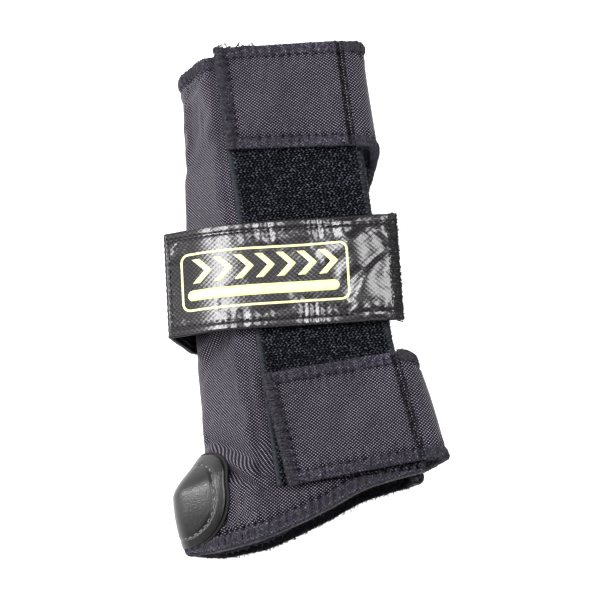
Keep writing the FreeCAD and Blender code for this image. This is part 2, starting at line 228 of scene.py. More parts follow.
def sleeve_grid():
    """Base points, normals, distances and swell of the sleeve's outer face, by row and column."""
    column = np.arange(COLUMNS)
    low = np.full(COLUMNS, -85.0)
    for _ in range(6):
        low = hand_edge_y(at_column(column, low)[0][:, 0])
    end = (np.arange(END_ROWS) * END_STEP)[:, None]
    t = np.linspace(0, 1, MIDDLE_ROWS + 2)[1:-1, None]
    inner_low, inner_high = low + end[-1], FOREARM_Y - end[-1] + 0 * low
    y = np.concatenate([low + end, inner_low + (inner_high - inner_low) * t, FOREARM_Y - end[::-1] + 0 * low])
    p, n, s = at_column(np.broadcast_to(column, y.shape), y)
    points = np.stack([p[..., 0], y, p[..., 1]], axis=-1)
    normals = np.stack([n[..., 0], np.zeros_like(y), n[..., 1]], axis=-1)
    return points, normals, s, y - low


PLEAT = 3.2                                  # from one hem stitch to the next


def gathers(along, distance, hem, phase=0.0, depth=1.0):
    """Relief of a sewn hem: a raised binding, stitch dimples at its inner side and pleats."""
    turn = 2 * math.pi * along / PLEAT + phase + 0.5 * np.sin(along / 5.3) + 0.35 * np.sin(along / 2.1)
    pull = (0.5 + 0.5 * np.cos(turn)) ** 1.5
    uneven = 0.75 + 0.35 * np.sin(along / 7.7 + phase) * np.sin(along / 3.1)
    relief = 0.4 / (1 + np.exp((distance - hem) / 0.3)) - 0.35 * bump(distance, hem + 0.35, 0.5)
    relief -= 1.0 * pull * uneven * bump(distance, hem + 0.1, 1.1)
    relief -= 0.55 * np.cos(turn) * uneven * bump(distance, hem * 0.5, hem * 0.5)
    relief -= 0.28 * np.cos(turn) * uneven * bump(distance, hem + 2.2, 2.0)
    relief -= 0.55 * np.clip(1 - distance / 0.9, 0, 1) ** 2
    return relief * depth


def hem_share(distance, hem):
    """1 on the binding of a hem and 0 past it."""
    return 1 / (1 + np.exp(np.clip((distance - hem) / 0.25, -60, 60)))


WRINKLES = (                                 # from, to (X, Y), width, height
    ((-43, -16), (-24, 2), 1.9, 1.1),
    ((-44, -25), (-27, -8), 1.6, -0.8),
    ((-42, -6), (-30, 5), 1.4, -0.6),
    ((-43, -50), (-17, -74), 1.7, 1.2),
    ((-45, -46), (-20, -64), 1.4, -1.1),
    ((-40, -41), (-22, -53), 2.0, 0.7),
    ((-37, -62), (-14, -80), 1.6, -0.8),
    ((-44, -35), (-28, -44), 1.8, 0.5),
    ((-36, 60), (-24, 78), 2.6, 0.4),
    ((-47, -56), (-24, -72), 1.2, -0.6),
    ((-42, -20), (-25, -4), 1.1, -0.5),
    ((-38, 84), (-25, 92), 2.0, 0.35),
)
WRINKLE_HEIGHT, WRINKLE_WIDTH = 1.45, 1.1    # factors on the heights and widths above


def sleeve_swell(points, normals, s, from_hand):
    """How far the stuffed nylon stands out from the plain section, in millimetres."""
    x, y = points[..., 0], points[..., 1]
    swell = gathers(s, from_hand, HAND_HEM, 0.3, 1.5) + gathers(s, FOREARM_Y - y, ARM_HEM, 1.1, 0.8)
    pleat = np.cos(2 * math.pi * s / 4.3 + 1.4 * np.sin(s / 8.0))
    swell += 0.3 * pleat * bump(from_hand, HAND_HEM + 2.5, 4.0)
    side = bump(s, 14.0, 26.0)
    swell += 0.45 * side * np.sin(y / 17.0 + 0.7) + 0.35 * side
    front = (normals[..., 2] > 0.9) * (y > -76)
    swell -= 0.9 * front * bump(x, -22.2, 1.3)
    on_front = np.clip(normals[..., 2] * 3 - 0.3, 0, 1)
    for a, b, width, height in WRINKLES:
        swell += WRINKLE_HEIGHT * height * on_front * ridge_line(x, y, a, b, width * WRINKLE_WIDTH)
    return swell


# ---- meshes -------------------------------------------------------------------------------
def new_object(name, points, faces, material, uvs=None, hem=None):
    """Mesh object from design-frame points, with UVs in millimetres and a hem share per point."""
    mesh = bpy.data.meshes.new(name)
    points = place(np.asarray(points, float).reshape(-1, 3))
    mesh.from_pydata(points.tolist(), [], [tuple(map(int, face)) for face in faces])
    mesh.shade_smooth()
    if uvs is not None:
        layer = mesh.uv_layers.new(name="cloth")
        index = np.zeros(len(mesh.loops), np.int32)
        mesh.loops.foreach_get("vertex_index", index)
        layer.data.foreach_set("uv", (np.asarray(uvs).reshape(-1, 2)[index] * MM).astype(np.float32).ravel())
    if hem is not None:
        shares = mesh.attributes.new("hem", "FLOAT", "POINT")
        shares.data.foreach_set("value", np.ravel(hem).astype(np.float32))
    mesh.materials.append(material)
    mesh.update()
    obj = bpy.data.objects.new(name, mesh)
    bpy.context.scene.collection.objects.link(obj)
    return obj


def ring_faces(rings, sides, first=0):
    """Quads between rings of points that close on themselves."""
    ring, k = np.meshgrid(np.arange(rings - 1), np.arange(sides), indexing="ij")
    a, b = first + ring * sides + k, first + ring * sides + (k + 1) % sides
    return np.stack([a, a + sides, b + sides, b], axis=-1).reshape(-1, 4).tolist()


def grid_faces(rows, columns, first=0, flip=False):
    """Quads between the rows and columns of a grid of points."""
    r, c = np.meshgrid(np.arange(rows - 1), np.arange(columns - 1), indexing="ij")
    a = first + r * columns + c
    quads = np.stack([a, a + 1, a + columns + 1, a + columns], axis=-1).reshape(-1, 4)
    return quads[:, ::-1] if flip else quads


def slab(name, outer, inner, uv, material, flip=False, hem=None):
    """Closed cloth between an outer and an inner grid of points."""
    rows, columns = outer.shape[:2]
    n = rows * columns
    faces = [grid_faces(rows, columns, 0, flip), grid_faces(rows, columns, n, not flip)]
    ring = list(range(columns))
    ring += [r * columns + columns - 1 for r in range(1, rows)]
    ring += [(rows - 1) * columns + k for k in range(columns - 2, -1, -1)]
    ring += [r * columns for r in range(rows - 2, 0, -1)]
    side = np.array([(a, b, b + n, a + n) for a, b in zip(ring, ring[1:] + ring[:1])])
    faces.append(side if flip else side[:, ::-1])
    points = np.concatenate([outer.reshape(-1, 3), inner.reshape(-1, 3)])
    uvs = np.concatenate([uv.reshape(-1, 2)] * 2)
    both_hems = None if hem is None else np.concatenate([np.ravel(hem)] * 2)
    return new_object(name, points, np.concatenate(faces), material, uvs, hem=both_hems)


def tubes(name, paths, radii, material, sides=5):
    """One mesh of closed round threads, each along its own list of points."""
    points, faces, uvs = [], [], []
    count = 0
    angles = np.arange(sides) * 2 * math.pi / sides
    for path, radius in zip(paths, radii):
        path = np.asarray(path, float)
        along = np.gradient(path, axis=0)
        along /= np.linalg.norm(along, axis=1, keepdims=True) + 1e-9
        side = np.cross(along, (0.31, 0.17, 0.93))
        side /= np.linalg.norm(side, axis=1, keepdims=True) + 1e-9
        up = np.cross(side, along)
        r = np.broadcast_to(np.asarray(radius, float), len(path))
        ring = path[:, None] + r[:, None, None] * (
            side[:, None] * np.cos(angles)[None, :, None] + up[:, None] * np.sin(angles)[None, :, None])
        length = np.concatenate([[0], np.cumsum(np.linalg.norm(np.diff(path, axis=0), axis=1))])
        points.append(ring.reshape(-1, 3))
        uvs.append(np.stack([
            np.broadcast_to(length[:, None], ring.shape[:2]),
            np.broadcast_to(angles[None] * 0.2, ring.shape[:2])], axis=-1).reshape(-1, 2))
        faces += ring_faces(len(path), sides, count)
        faces.append(range(count, count + sides))
        count += len(path) * sides
        faces.append(range(count - 1, count - 1 - sides, -1))
    return new_object(name, np.concatenate(points), faces, material, np.concatenate(uvs))


def resample(path, pitch):
    """Evenly spaced points along a polyline."""
    path = np.asarray(path, float)
    length = np.concatenate([[0], np.cumsum(np.linalg.norm(np.diff(path, axis=0), axis=1))])
    at = np.linspace(0, length[-1], max(2, int(round(length[-1] / pitch)) + 1))
    return np.stack([np.interp(at, length, path[:, k]) for k in range(path.shape[1])], axis=1)


def stitch_row(path, normals, pitch, thread=0.24, gap=0.28, slant=0.0, lift=0.12):
    """Separate stitches that dive into the cloth at both ends, as (paths, radii)."""
    both = resample(np.concatenate([path, normals], axis=1), pitch)
    paths, radii = [], []
    for a, b in zip(both, both[1:]):
        p0, p1, n = a[:3], b[:3], (a[3:] + b[3:]) / 2
        n = n / np.linalg.norm(n)
        d = p1 - p0
        side = np.cross(n, d)
        jitter = rng.normal(0, 0.05, 2)
        t = np.linspace(gap / 2, 1 - gap / 2, 5)
        rise = np.array([-0.22, lift * 0.8, lift, lift * 0.8, -0.22])
        sideways = (t - 0.5) * slant + jitter[0] * 0.5
        paths.append(p0 + d * t[:, None] + n * rise[:, None] + side * sideways[:, None])
        radii.append(np.array([0.55, 0.95, 1.0, 0.95, 0.55]) * thread * (1 + jitter[1]))
    return paths, radii


def add_cloth(cloth, pinned, grow, pressure, bending):
    """Cloth modifier for settle: light stiff cloth without gravity, held at its pinned points."""
    group = cloth.vertex_groups.new(name="held")
    group.add(np.flatnonzero(pinned.ravel()).tolist(), 1.0, "REPLACE")
    settings = cloth.modifiers.new("Cloth", "CLOTH").settings
    settings.quality = 5
    settings.mass = 0.05
    settings.tension_stiffness = settings.compression_stiffness = 12
    settings.shear_stiffness = 6
    settings.bending_stiffness = bending
    settings.shrink_min = -grow
    settings.vertex_group_mass = "held"
    settings.use_pressure = pressure != 0
    settings.uniform_pressure_force = pressure
    settings.effector_weights.gravity = 0


def settle(grid, pinned, grow, pressure, frames, cap, wavy, bending):
    """Runs cloth on a coarse sheet and gives its displaced points, moved by no more than cap.

    grow is how much larger the cloth is cut than the sheet, so that it buckles.
    """
    rows, columns = grid.shape[:2]
    start = grid + wavy * np.sin(grid[..., :1] * 0.9 + grid[..., 1:2] * 1.3) * np.array([0, 0, 1.0])
    cloth = new_object("cloth_run", start, grid_faces(rows, columns), bpy.data.materials[0])
    add_cloth(cloth, pinned, grow, pressure, bending)
    scene = bpy.context.scene
    scene.frame_start, scene.frame_end = 1, frames
    for number in range(1, frames + 1):
        scene.frame_set(number)
    shaped = cloth.evaluated_get(bpy.context.evaluated_depsgraph_get())
    moved = np.zeros(rows * columns * 3)
    shaped.data.vertices.foreach_get("co", moved)
    moved = moved.reshape(rows, columns, 3) / MM - SHIFT
    mesh = cloth.data
    bpy.data.objects.remove(cloth)
    bpy.data.meshes.remove(mesh)
    scene.frame_set(1)
    away = moved - grid
    length = np.linalg.norm(away, axis=-1, keepdims=True)
    return grid + away * np.minimum(1, cap / np.maximum(length, 1e-9))


def finer(values, rows, columns):
    """Smoothly enlarges a grid of values to rows by columns."""
    for axis, count in ((0, rows), (1, columns)):
        n = values.shape[axis]
        at = np.linspace(0, n - 1, count)
        i = np.clip(at.astype(int), 0, n - 2)
        t = at - i
        take = [np.take(values, np.clip(i + k, 0, n - 1), axis=axis) for k in (-1, 0, 1, 2)]
        shape = [1] * values.ndim
        shape[axis] = count
        t = t.reshape(shape)
        values = 0.5 * (
            2 * take[1] + (take[2] - take[0]) * t
            + (2 * take[0] - 5 * take[1] + 4 * take[2] - take[3]) * t ** 2
            + (3 * take[1] - take[0] - 3 * take[2] + take[3]) * t ** 3)
    return values


# ---- materials ----------------------------------------------------------------------------
class Shader:
    """Small helper to write a node material."""

    def __init__(self, name, roughness, **sockets):
        self.material = bpy.data.materials.new(name)
        self.material.use_nodes = True
        self.tree = self.material.node_tree
        self.surface = self.tree.nodes["Principled BSDF"]
        self.surface.inputs["Roughness"].default_value = roughness
        for key, value in sockets.items():
            self.surface.inputs[key.replace("_", " ")].default_value = value

    def node(self, kind, **settings):
        node = self.tree.nodes.new(kind)
        for key, value in settings.items():
            setattr(node, key, value)
        return node

    def link(self, a, b):
        self.tree.links.new(a, b)

    def math(self, operation, a, b=None, c=None, clamp=False):
        node = self.node("ShaderNodeMath", operation=operation, use_clamp=clamp)
        for socket, value in zip(node.inputs, (a, b, c)):
            if value is None:
                continue
            if isinstance(value, (int, float)):
                socket.default_value = value
            else:
                self.link(value, socket)
        return node.outputs[0]

    def scaled(self, value, factor, plus):
        return self.math("MULTIPLY_ADD", value, factor, plus)

    def times(self, a, b):
        return self.math("MULTIPLY", a, b)

    def centred(self, value):
        return self.math("SUBTRACT", value, 0.5)

    def wave(self, along, pitch):
        """Sine along a coordinate in metres, with a pitch in millimetres."""
        return self.math("SINE", self.times(along, 2 * math.pi / (pitch * MM)))

    def position(self):
        return self.node("ShaderNodeTexCoord").outputs["Object"]

    def split(self, vector):
        node = self.node("ShaderNodeSeparateXYZ")
        self.link(vector, node.inputs[0])
        return node.outputs

    def uv(self):
        return self.split(self.node("ShaderNodeUVMap", uv_map="cloth").outputs[0])[:2]

    def noise(self, scale, detail=3.0, roughness=0.5):
        node = self.node("ShaderNodeTexNoise")
        node.inputs["Scale"].default_value = scale
        node.inputs["Detail"].default_value = detail
        node.inputs["Roughness"].default_value = roughness
        self.link(self.position(), node.inputs["Vector"])
        return node.outputs[0]

    def paint(self, factor, *stops):
        """Base colour from a ramp of (position, colour) over the factor."""
        ramp = self.node("ShaderNodeValToRGB")
        elements = ramp.color_ramp.elements
        while len(elements) < len(stops):
            elements.new(0.5)
        for element, (position, value) in zip(elements, stops):
            element.position = position
            element.color = (*value, 1)
        self.link(factor, ramp.inputs[0])
        self.link(ramp.outputs[0], self.surface.inputs["Base Color"])

    def roughness(self, value):
        self.link(value, self.surface.inputs["Roughness"])

    def bumps(self, *layers, coat=False):
        """Layers of (height output, depth in metres, strength)."""
        normal = None
        for height, depth, strength in layers:
            node = self.node("ShaderNodeBump")
            node.inputs["Distance"].default_value = depth
            node.inputs["Strength"].default_value = strength
            self.link(height, node.inputs["Height"])
            if normal is not None:
                self.link(normal, node.inputs["Normal"])
            normal = node.outputs[0]
        self.link(normal, self.surface.inputs["Normal"])
        if coat:
            self.link(normal, self.surface.inputs["Coat Normal"])


def weave(s, pitch_u, pitch_v):
    """Staggered bumps of a basket weave, from the UV in metres."""
    u, v = s.uv()
    return s.math("MULTIPLY_ADD", s.times(s.wave(u, pitch_u), s.wave(v, pitch_v)), 0.5, 0.5, clamp=True)


def nylon_material():
    """Shiny basket weave with painted highlights on its knot tops and painted shade in its gaps, and the
    brushed binding tape where the hem attribute is 1.
    """
    s = Shader("ballistic_nylon", 0.42, Specular_IOR_Level=0.22)
    knots = weave(s, 1.45, 1.2)
    fleck = s.noise(1500.0, 3.0, roughness=0.6)
    patches = s.noise(45.0, 4.0)
    hem = s.node("ShaderNodeAttribute", attribute_name="hem").outputs["Fac"]
    bare = s.math("SUBTRACT", 1.0, hem)
    woven = s.scaled(s.centred(fleck), 0.3, s.math("POWER", knots, 1.5))
    brushed = s.scaled(s.centred(fleck), 1.1, s.scaled(knots, 0.3, 0.36))
    painted_glints_and_tone = s.math("ADD", s.times(woven, bare), s.times(brushed, hem))
    painted_glints_and_tone = s.scaled(s.centred(patches), 0.2, painted_glints_and_tone)
    # knots lighten the base colour: painted highlights on the knot tops and painted shade between them; fleck
    # and patches are random tone
    s.paint(painted_glints_and_tone, (0.1, (0.0016, 0.0014, 0.0025)), (0.38, (0.0085, 0.0076, 0.0118)),
            (0.66, (0.067, 0.06, 0.083)), (0.95, (0.33, 0.3, 0.37)))
    gloss = s.scaled(s.times(knots, bare), -0.5, 0.75)
    s.roughness(s.scaled(s.centred(patches), 0.3, gloss))
    s.bumps((s.times(knots, s.scaled(hem, -0.8, 1.0)), 0.00042, 1.0), (fleck, 0.00026, 0.6))
    return s.material


def terry_material():
    s = Shader("terry_cloth", 0.9, Sheen_Weight=0.08, Sheen_Roughness=0.6, Specular_IOR_Level=0.15)
    curls = s.noise(1500.0)
    s.paint(s.scaled(s.noise(90.0), 0.4, curls), (0.5, (0.01, 0.0095, 0.012)),
            (0.8, (0.052, 0.0495, 0.059)), (1.0, (0.17, 0.162, 0.186)))
    s.bumps((curls, 0.0007, 0.9))
    return s.material


PILE_FOOT_Z = 46.65                          # where the loops leave the tape
PILE_TALL = 1.4


def loop_material():
    """Painted shade, near black, by the ground of the tape, and painted highlights on the tops of its loops.
    """
    s = Shader("loop_pile", 0.36, Specular_IOR_Level=0.3)
    # base colour rises with height above the tape: painted shade low between the loops, painted highlight on
    # their tops; the noise is random tone
    above = s.math("SUBTRACT", s.split(s.position())[2], PILE_FOOT_Z * MM)
    rise = s.math("MULTIPLY", above, 1 / (PILE_TALL * MM), clamp=True)
    strand = s.noise(2600.0, 2.0)
    strand_tone_and_painted_light = s.scaled(s.noise(700.0, 2.0), 0.28, s.scaled(strand, 0.3, s.times(rise, 0.5)))
    s.paint(strand_tone_and_painted_light, (0.52, (0.0005, 0.0006, 0.001)), (0.66, (0.006, 0.0068, 0.0102)),
            (0.86, (0.1, 0.108, 0.138)))
    s.bumps((strand, 0.0002, 0.5))
    return s.material


def tape_ground_material():
    s = Shader("tape_ground", 0.75, Specular_IOR_Level=0.1)
    knots = weave(s, 1.3, 1.3)
    s.paint(knots, (0.2, (0.002, 0.002, 0.003)), (0.9, (0.007, 0.0075, 0.011)))
    s.bumps((knots, 0.0002, 0.8))
    return s.material


def selvage_material():
    s = Shader("tape_selvage", 0.5, Specular_IOR_Level=0.3)
    ribs = s.wave(s.uv()[1], 0.9)
    s.paint(s.scaled(ribs, 0.15, s.noise(700.0, 2.0)),
            (0.3, (0.008, 0.009, 0.013)), (0.8, (0.026, 0.029, 0.04)))
    s.bumps((ribs, 0.00012, 0.6))
    return s.material


def vinyl_material():
    """Glossy embossed cover, under a coat that shares its small bumps."""
    s = Shader("coated_cover", 0.3, Coat_Weight=0.95, Coat_Roughness=0.29, Coat_IOR=1.55,
               Specular_IOR_Level=0.2)
    emboss = weave(s, 2.1, 1.8)
    scuff = s.noise(420.0, 6.0, roughness=0.7)
    cloud = s.noise(60.0, 4.0)
    s.paint(s.scaled(emboss, 0.6, s.times(cloud, 0.5)), (0.35, (0.0012, 0.0009, 0.0012)),
            (0.6, (0.008, 0.0064, 0.008)), (0.85, (0.046, 0.038, 0.047)))
    s.roughness(s.scaled(scuff, 0.22, 0.14))
    s.bumps((cloud, 0.0004, 0.3), (emboss, 0.00004, 1.0), (scuff, 0.00002, 1.0), coat=True)
    return s.material


def leather_material():
    s = Shader("pebbled_leather", 0.3, Specular_IOR_Level=0.5)
    cells = s.node("ShaderNodeTexVoronoi", feature="DISTANCE_TO_EDGE")
    cells.inputs["Scale"].default_value = 950.0
    s.link(s.position(), cells.inputs["Vector"])
    pebble = s.math("POWER", s.math("MULTIPLY", cells.outputs[0], 2.2, clamp=True), 0.6, clamp=True)
    cloud = s.noise(110.0, 5.0)
    s.paint(s.scaled(pebble, 0.35, s.times(cloud, 0.8)), (0.35, (0.0012, 0.0011, 0.0013)),
            (0.62, (0.003, 0.0028, 0.0032)), (0.9, (0.012, 0.0113, 0.0121)))
    s.roughness(s.scaled(cloud, 0.2, 0.22))
    s.bumps((cloud, 0.0003, 0.2), (pebble, 0.0001, 0.3))
    return s.material


def leather_edge_material():
    s = Shader("leather_cut_edge", 0.6, Specular_IOR_Level=0.2)
    fibre = s.noise(1800.0)
    s.paint(fibre, (0.3, (0.004, 0.0038, 0.004)), (0.7, (0.02, 0.0192, 0.0195)))
    s.bumps((fibre, 0.0002, 0.6))
    return s.material


def thread_material(name, dark, light):
    """Twisted thread, striped at a slant to its length."""
    s = Shader(name, 0.6, Specular_IOR_Level=0.25)
    u, v = s.uv()
    twist = s.math("SINE", s.scaled(u, 2 * math.pi / (0.6 * MM), s.times(v, 9000.0)))
    s.paint(s.scaled(twist, 0.2, s.noise(1400.0, 2.0)), (0.3, dark), (0.75, light))
    s.bumps((twist, 0.00008, 0.5))
    return s.material


def webbing_material(name, pitch, ribs_along, dark, light):
    s = Shader(name, 0.62, Specular_IOR_Level=0.25)
    u, v = s.uv()
    coarse = s.wave(v if ribs_along else u, pitch)
    fine = s.wave(u if ribs_along else v, pitch * 0.45)
    height = s.scaled(coarse, 0.35, s.scaled(fine, 0.15, 0.5))
    s.paint(s.scaled(s.noise(800.0, 2.0), 0.3, height), (0.35, dark), (0.95, light))
    s.bumps((height, 0.0003, 0.8))
    return s.material


def hook_material():
    s = Shader("hook_tape", 0.45)
    u, v = s.uv()
    hooks = s.math("POWER", s.scaled(s.times(s.wave(u, 1.3), s.wave(v, 0.9)), 0.5, 0.5), 2.0)
    s.paint(hooks, (0.1, (0.004, 0.004, 0.005)), (0.8, (0.035, 0.036, 0.04)))
    s.bumps((hooks, 0.0006, 1.0))
    return s.material


def ink_material():
    s = Shader("print_ink", 0.38, Coat_Weight=0.2, Coat_Roughness=0.3)
    worn = s.noise(420.0, 5.0, roughness=0.7)
    s.paint(s.scaled(s.noise(60.0, 2.0), 0.35, worn), (0.3, (0.5, 0.485, 0.2)),
            (0.5, (0.68, 0.665, 0.3)), (0.95, (0.74, 0.725, 0.36)))
    s.roughness(s.scaled(worn, 0.25, 0.25))
    s.bumps((worn, 0.0001, 0.3))
    return s.material


def foam_material():
    s = Shader("foam_padding", 0.95)
    cells = s.noise(1100.0)
    s.paint(cells, (0.35, (0.05, 0.05, 0.055)), (0.7, (0.14, 0.14, 0.15)))
    s.bumps((cells, 0.0004, 0.8))
    return s.material


def splint_material():
    s = Shader("splint_plastic", 0.35)
    flow = s.noise(70.0, 4.0)
    s.paint(flow, (0.3, (0.42, 0.41, 0.39)), (0.7, (0.6, 0.6, 0.57)))
    s.roughness(s.scaled(flow, 0.3, 0.25))
    s.bumps((s.noise(900.0, 2.0), 0.00005, 0.4))
    return s.material


NYLON = nylon_material()
TERRY = terry_material()
PILE = loop_material()
GROUND = tape_ground_material()
SELVAGE = selvage_material()
VINYL = vinyl_material()
LEATHER = leather_material()
LEATHER_EDGE = leather_edge_material()
SEAM = thread_material("seam_thread", (0.002, 0.002, 0.003), (0.012, 0.0115, 0.014))
OVERLOCK = thread_material("overlock_thread", (0.009, 0.0084, 0.0112), (0.06, 0.056, 0.071))
DARK_SEAM = thread_material("strap_thread", (0.004, 0.004, 0.0045), (0.03, 0.029, 0.031))
PALE_SEAM = thread_material("patch_thread", (0.05, 0.048, 0.05), (0.26, 0.25, 0.255))
WEBBING = webbing_material("strap_webbing", 1.4, False, (0.006, 0.006, 0.008), (0.04, 0.039, 0.046))
ELASTIC = webbing_material("ribbed_elastic", 2.6, True, (0.007, 0.007, 0.009), (0.045, 0.043, 0.05))
HOOKS = hook_material()
INK = ink_material()
FOAM = foam_material()
SPLINT = splint_material()


def finish_piece(obj, body, slot, *nodes):
    """Hides the CAD nodes a piece replaces and parents the piece to its body; with a blend in place of a
    body, its placement is only baked into its mesh. The slot is not used.
    """
    if nodes:
        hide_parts(*nodes)
    if isinstance(body, str):
        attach(obj, body)
    else:
        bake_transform(obj)
    return obj


def cross(a, b, start, end):
    return (a, b, tuple(place(start)), tuple(place(end)))


def sew(name, runs, material, body, slot, **look):
    """Stitches along runs of (points, normals, pitch, what differs), all as one piece."""
    paths, radii = [], []
    for points, normals, pitch, differs in runs:
        new_paths, new_radii = stitch_row(points, normals, pitch, **{**look, **differs})
        paths += new_paths
        radii += new_radii
    finish_piece(tubes(name, paths, radii, material), body, slot)


# ---- sleeve: shell, foam and lining -------------------------------------------------------
SHELL_IN, FOAM_OUT, FOAM_IN, LINING_OUT = 1.6, 1.7, 4.1, 4.2     # depths of the layers' faces
TERRY_NAP = 0.22
base, outward, around, from_hand = sleeve_grid()
swell = sleeve_swell(base, outward, around, from_hand)


def sleeve_settled():
    """Extra folds from a cloth run over the whole sleeve, held along its seams."""
    rows, columns = 48, 98
    coarse = finer(base + outward * swell[..., None], rows, columns)
    y = coarse[..., 1]
    edge = finer(from_hand[..., None], rows, columns)[..., 0]
    held = (edge < 5) | (FOREARM_Y - y < 5) | (coarse[..., 2] < BACK_Z + 1.5)
    held |= (coarse[..., 0] > -22) & (coarse[..., 2] > 40)
    held[:, 0] = held[:, -1] = True
    moved = settle(coarse, held, grow=0.018, pressure=0.5, frames=22, cap=0.8, wavy=0.1, bending=0.4)
    along = ((moved - coarse) * finer(outward, rows, columns)).sum(axis=-1)
    return finer(along[..., None], *base.shape[:2])[..., 0]


swell = swell + sleeve_settled()
outer_face = base + outward * swell[..., None]
inner_swell = np.clip(swell, -0.8, 0.8) * 0.35
cloth_uv = np.stack([around, base[..., 1]], axis=-1)
sleeve_hem = np.maximum(hem_share(from_hand, HAND_HEM), hem_share(FOREARM_Y - base[..., 1], ARM_HEM))


def at_depth(depth):
    """Points inside the sleeve, which keep a share of the outer swell."""
    return base + outward * (inner_swell - depth)[..., None]


def sleeve_layers():
    """Nylon shell, foam and terry lining."""
    nap = rng.normal(0, TERRY_NAP, base.shape[:2])
    foam_out, foam_in, lining_out = (at_depth(depth) for depth in (FOAM_OUT, FOAM_IN, LINING_OUT))
    layers = (
        ("sleeve_shell", outer_face, at_depth(SHELL_IN), NYLON, "nylon", "outer_shell"),
        ("sleeve_padding", foam_out, foam_in, FOAM, "foam", "foam_padding"),
        ("sleeve_lining", lining_out, at_depth(SLEEVE_T - nap), TERRY, "terry_lining", "inner_lining"),
    )
    for name, outer, inner, material, slot, node in layers:
        piece = finish_piece(slab(name, outer, inner, cloth_uv, material, hem=sleeve_hem), "root", slot, node)


sleeve_layers()


NAP_LENGTH = 0.75


def brushed(name, grid, hem, count, body):
    """Short fibres lying over the brushed binding of a hem."""
    rows, columns = hem.shape
    up = np.cross(np.gradient(grid, axis=1), np.gradient(grid, axis=0))
    up /= np.linalg.norm(up, axis=-1, keepdims=True) + 1e-9
    if up[rows // 2, columns // 2, 2] < 0:
        up = -up
    candidates = np.argwhere(hem > 0.4)
    paths, radii = [], []
    for index in rng.integers(len(candidates), size=count):
        r, c = candidates[index]
        n = up[r, c]
        turn = rng.normal(0, 1, (2, 3))
        heading = turn[0] - n * (turn[0] @ n)
        heading /= np.linalg.norm(heading) + 1e-9
        curl = turn[1] * 0.3
        t = np.linspace(0, 1, 4)[:, None]
        size = NAP_LENGTH * rng.uniform(0.5, 1.3)
        start = grid[r, c] + rng.normal(0, 0.35, 3) * (1 - np.abs(n)) - n * 0.06
        arch = n * (np.sin(t * math.pi) * rng.uniform(0.12, 0.34))
        paths.append(start + heading * size * t + curl * size * t * t + arch)
        radii.append(np.full(4, rng.uniform(0.06, 0.1)))
    finish_piece(tubes(name, paths, radii, OVERLOCK, sides=3), body, "edge_thread")


# ---- overlocked edges ---------------------------------------------------------------------
def overlock(name, lines, pitch=1.2, thread=0.24, body="root", jitter=0.12, material=OVERLOCK):
    """Edge thread that passes over the lines in turn, from the top face round to the underside."""
    rows = resample(np.concatenate(lines, axis=1), pitch)
    count = len(lines)
    share = np.linspace(0, 1, count)[:, None]
    paths, radii = [], []
    for row, following in zip(rows, rows[1:]):
        here, there = row.reshape(count, 3), following.reshape(count, 3)
        points = here * (1 - share) + there * share
        points[0] += (here[0] - here[1]) * rng.uniform(-0.25, 0.1)
        paths.append(points + rng.normal(0, jitter, (count, 3)))
        radii.append(np.full(count, thread) * rng.uniform(0.8, 1.15))
    finish_piece(tubes(name, paths, radii, material), body, "edge_thread")


THREAD_LIFT = 0.1


def edge_lines(top, normals, bottom, out):
    """Lines for an overlock: top holds lines of points from far inside to the edge itself."""
    lines = [line + n * THREAD_LIFT for line, n in zip(top, normals)]
    edge, up = top[-1], normals[-1]
    lines[0] = top[0] - normals[0] * 0.15
    lines.append((edge + bottom) / 2 + out * 0.3)
    lines.append(bottom - up * THREAD_LIFT + out * 0.05)
    lines.append(bottom - up * 0.05 - out * 2.0)
    return lines


def rim(row, direction):
    """Top and bottom rims of the sleeve at its first or last row."""
    top = outer_face[row]
    bottom = base[row] + outward[row] * (inner_swell[row] - SLEEVE_T)[..., None]
    return top, bottom, np.broadcast_to(np.array(direction, float), top.shape)


BAND_STEPS = 8


def rim_band(name, row, direction, node):
    """Rounded tape of gathered cloth that closes the layers at an end of the sleeve."""
    top, bottom, out = rim(row, direction)
    middle = (top + bottom) / 2
    half = (top - bottom) / 2
    turns = [math.pi * (k / BAND_STEPS - 0.5) for k in range(BAND_STEPS + 1)]
    rings = [middle + half * math.sin(a) + out * (0.9 * math.cos(a) - 0.35) for a in turns]
    rings += [middle + half * math.sin(a) * 0.75 - out * 0.6 for a in turns[-2:0:-1]]
    grid = np.array(rings)
    n, m = grid.shape[:2]
    faces = [(r * m + c, ((r + 1) % n) * m + c, ((r + 1) % n) * m + c + 1, r * m + c + 1)
             for r in range(n) for c in range(m - 1)]
    faces.append([r * m for r in range(n)])
    faces.append([r * m + m - 1 for r in range(n - 1, -1, -1)])
    uv = np.stack(np.broadcast_arrays(around[row][None], np.arange(n)[:, None] * 0.8), axis=-1)
    finish_piece(new_object(name, grid, faces, TERRY, uv), "root", "edge_thread", node)


rim_band("forearm_edge", -1, (0, 1, 0), "forearm_binding")
rim_band("hand_edge", 0, (0, -1, 0), "hand_binding")


def rim_overlock(name, row, direction, inset, pitch):
    """Edge thread round an end of the sleeve."""
    _, bottom, out = rim(row, direction)
    away = np.abs(base[..., 1] - base[row, :, 1])
    column = np.arange(COLUMNS)
    lines, normals = [], []
    for distance in (inset, inset * 0.66, inset * 0.33, 0.0):
        rows = np.argmin(np.abs(away - distance), axis=0)
        lines.append(outer_face[rows, column])
        normals.append(outward[rows, column])
    overlock(name, edge_lines(lines, normals, bottom, out), pitch=pitch)


rim_overlock("forearm_overlock", -1, (0, 1, 0), ARM_HEM, 1.15)
rim_overlock("hand_overlock", 0, (0, -1, 0), HAND_HEM, 1.3)


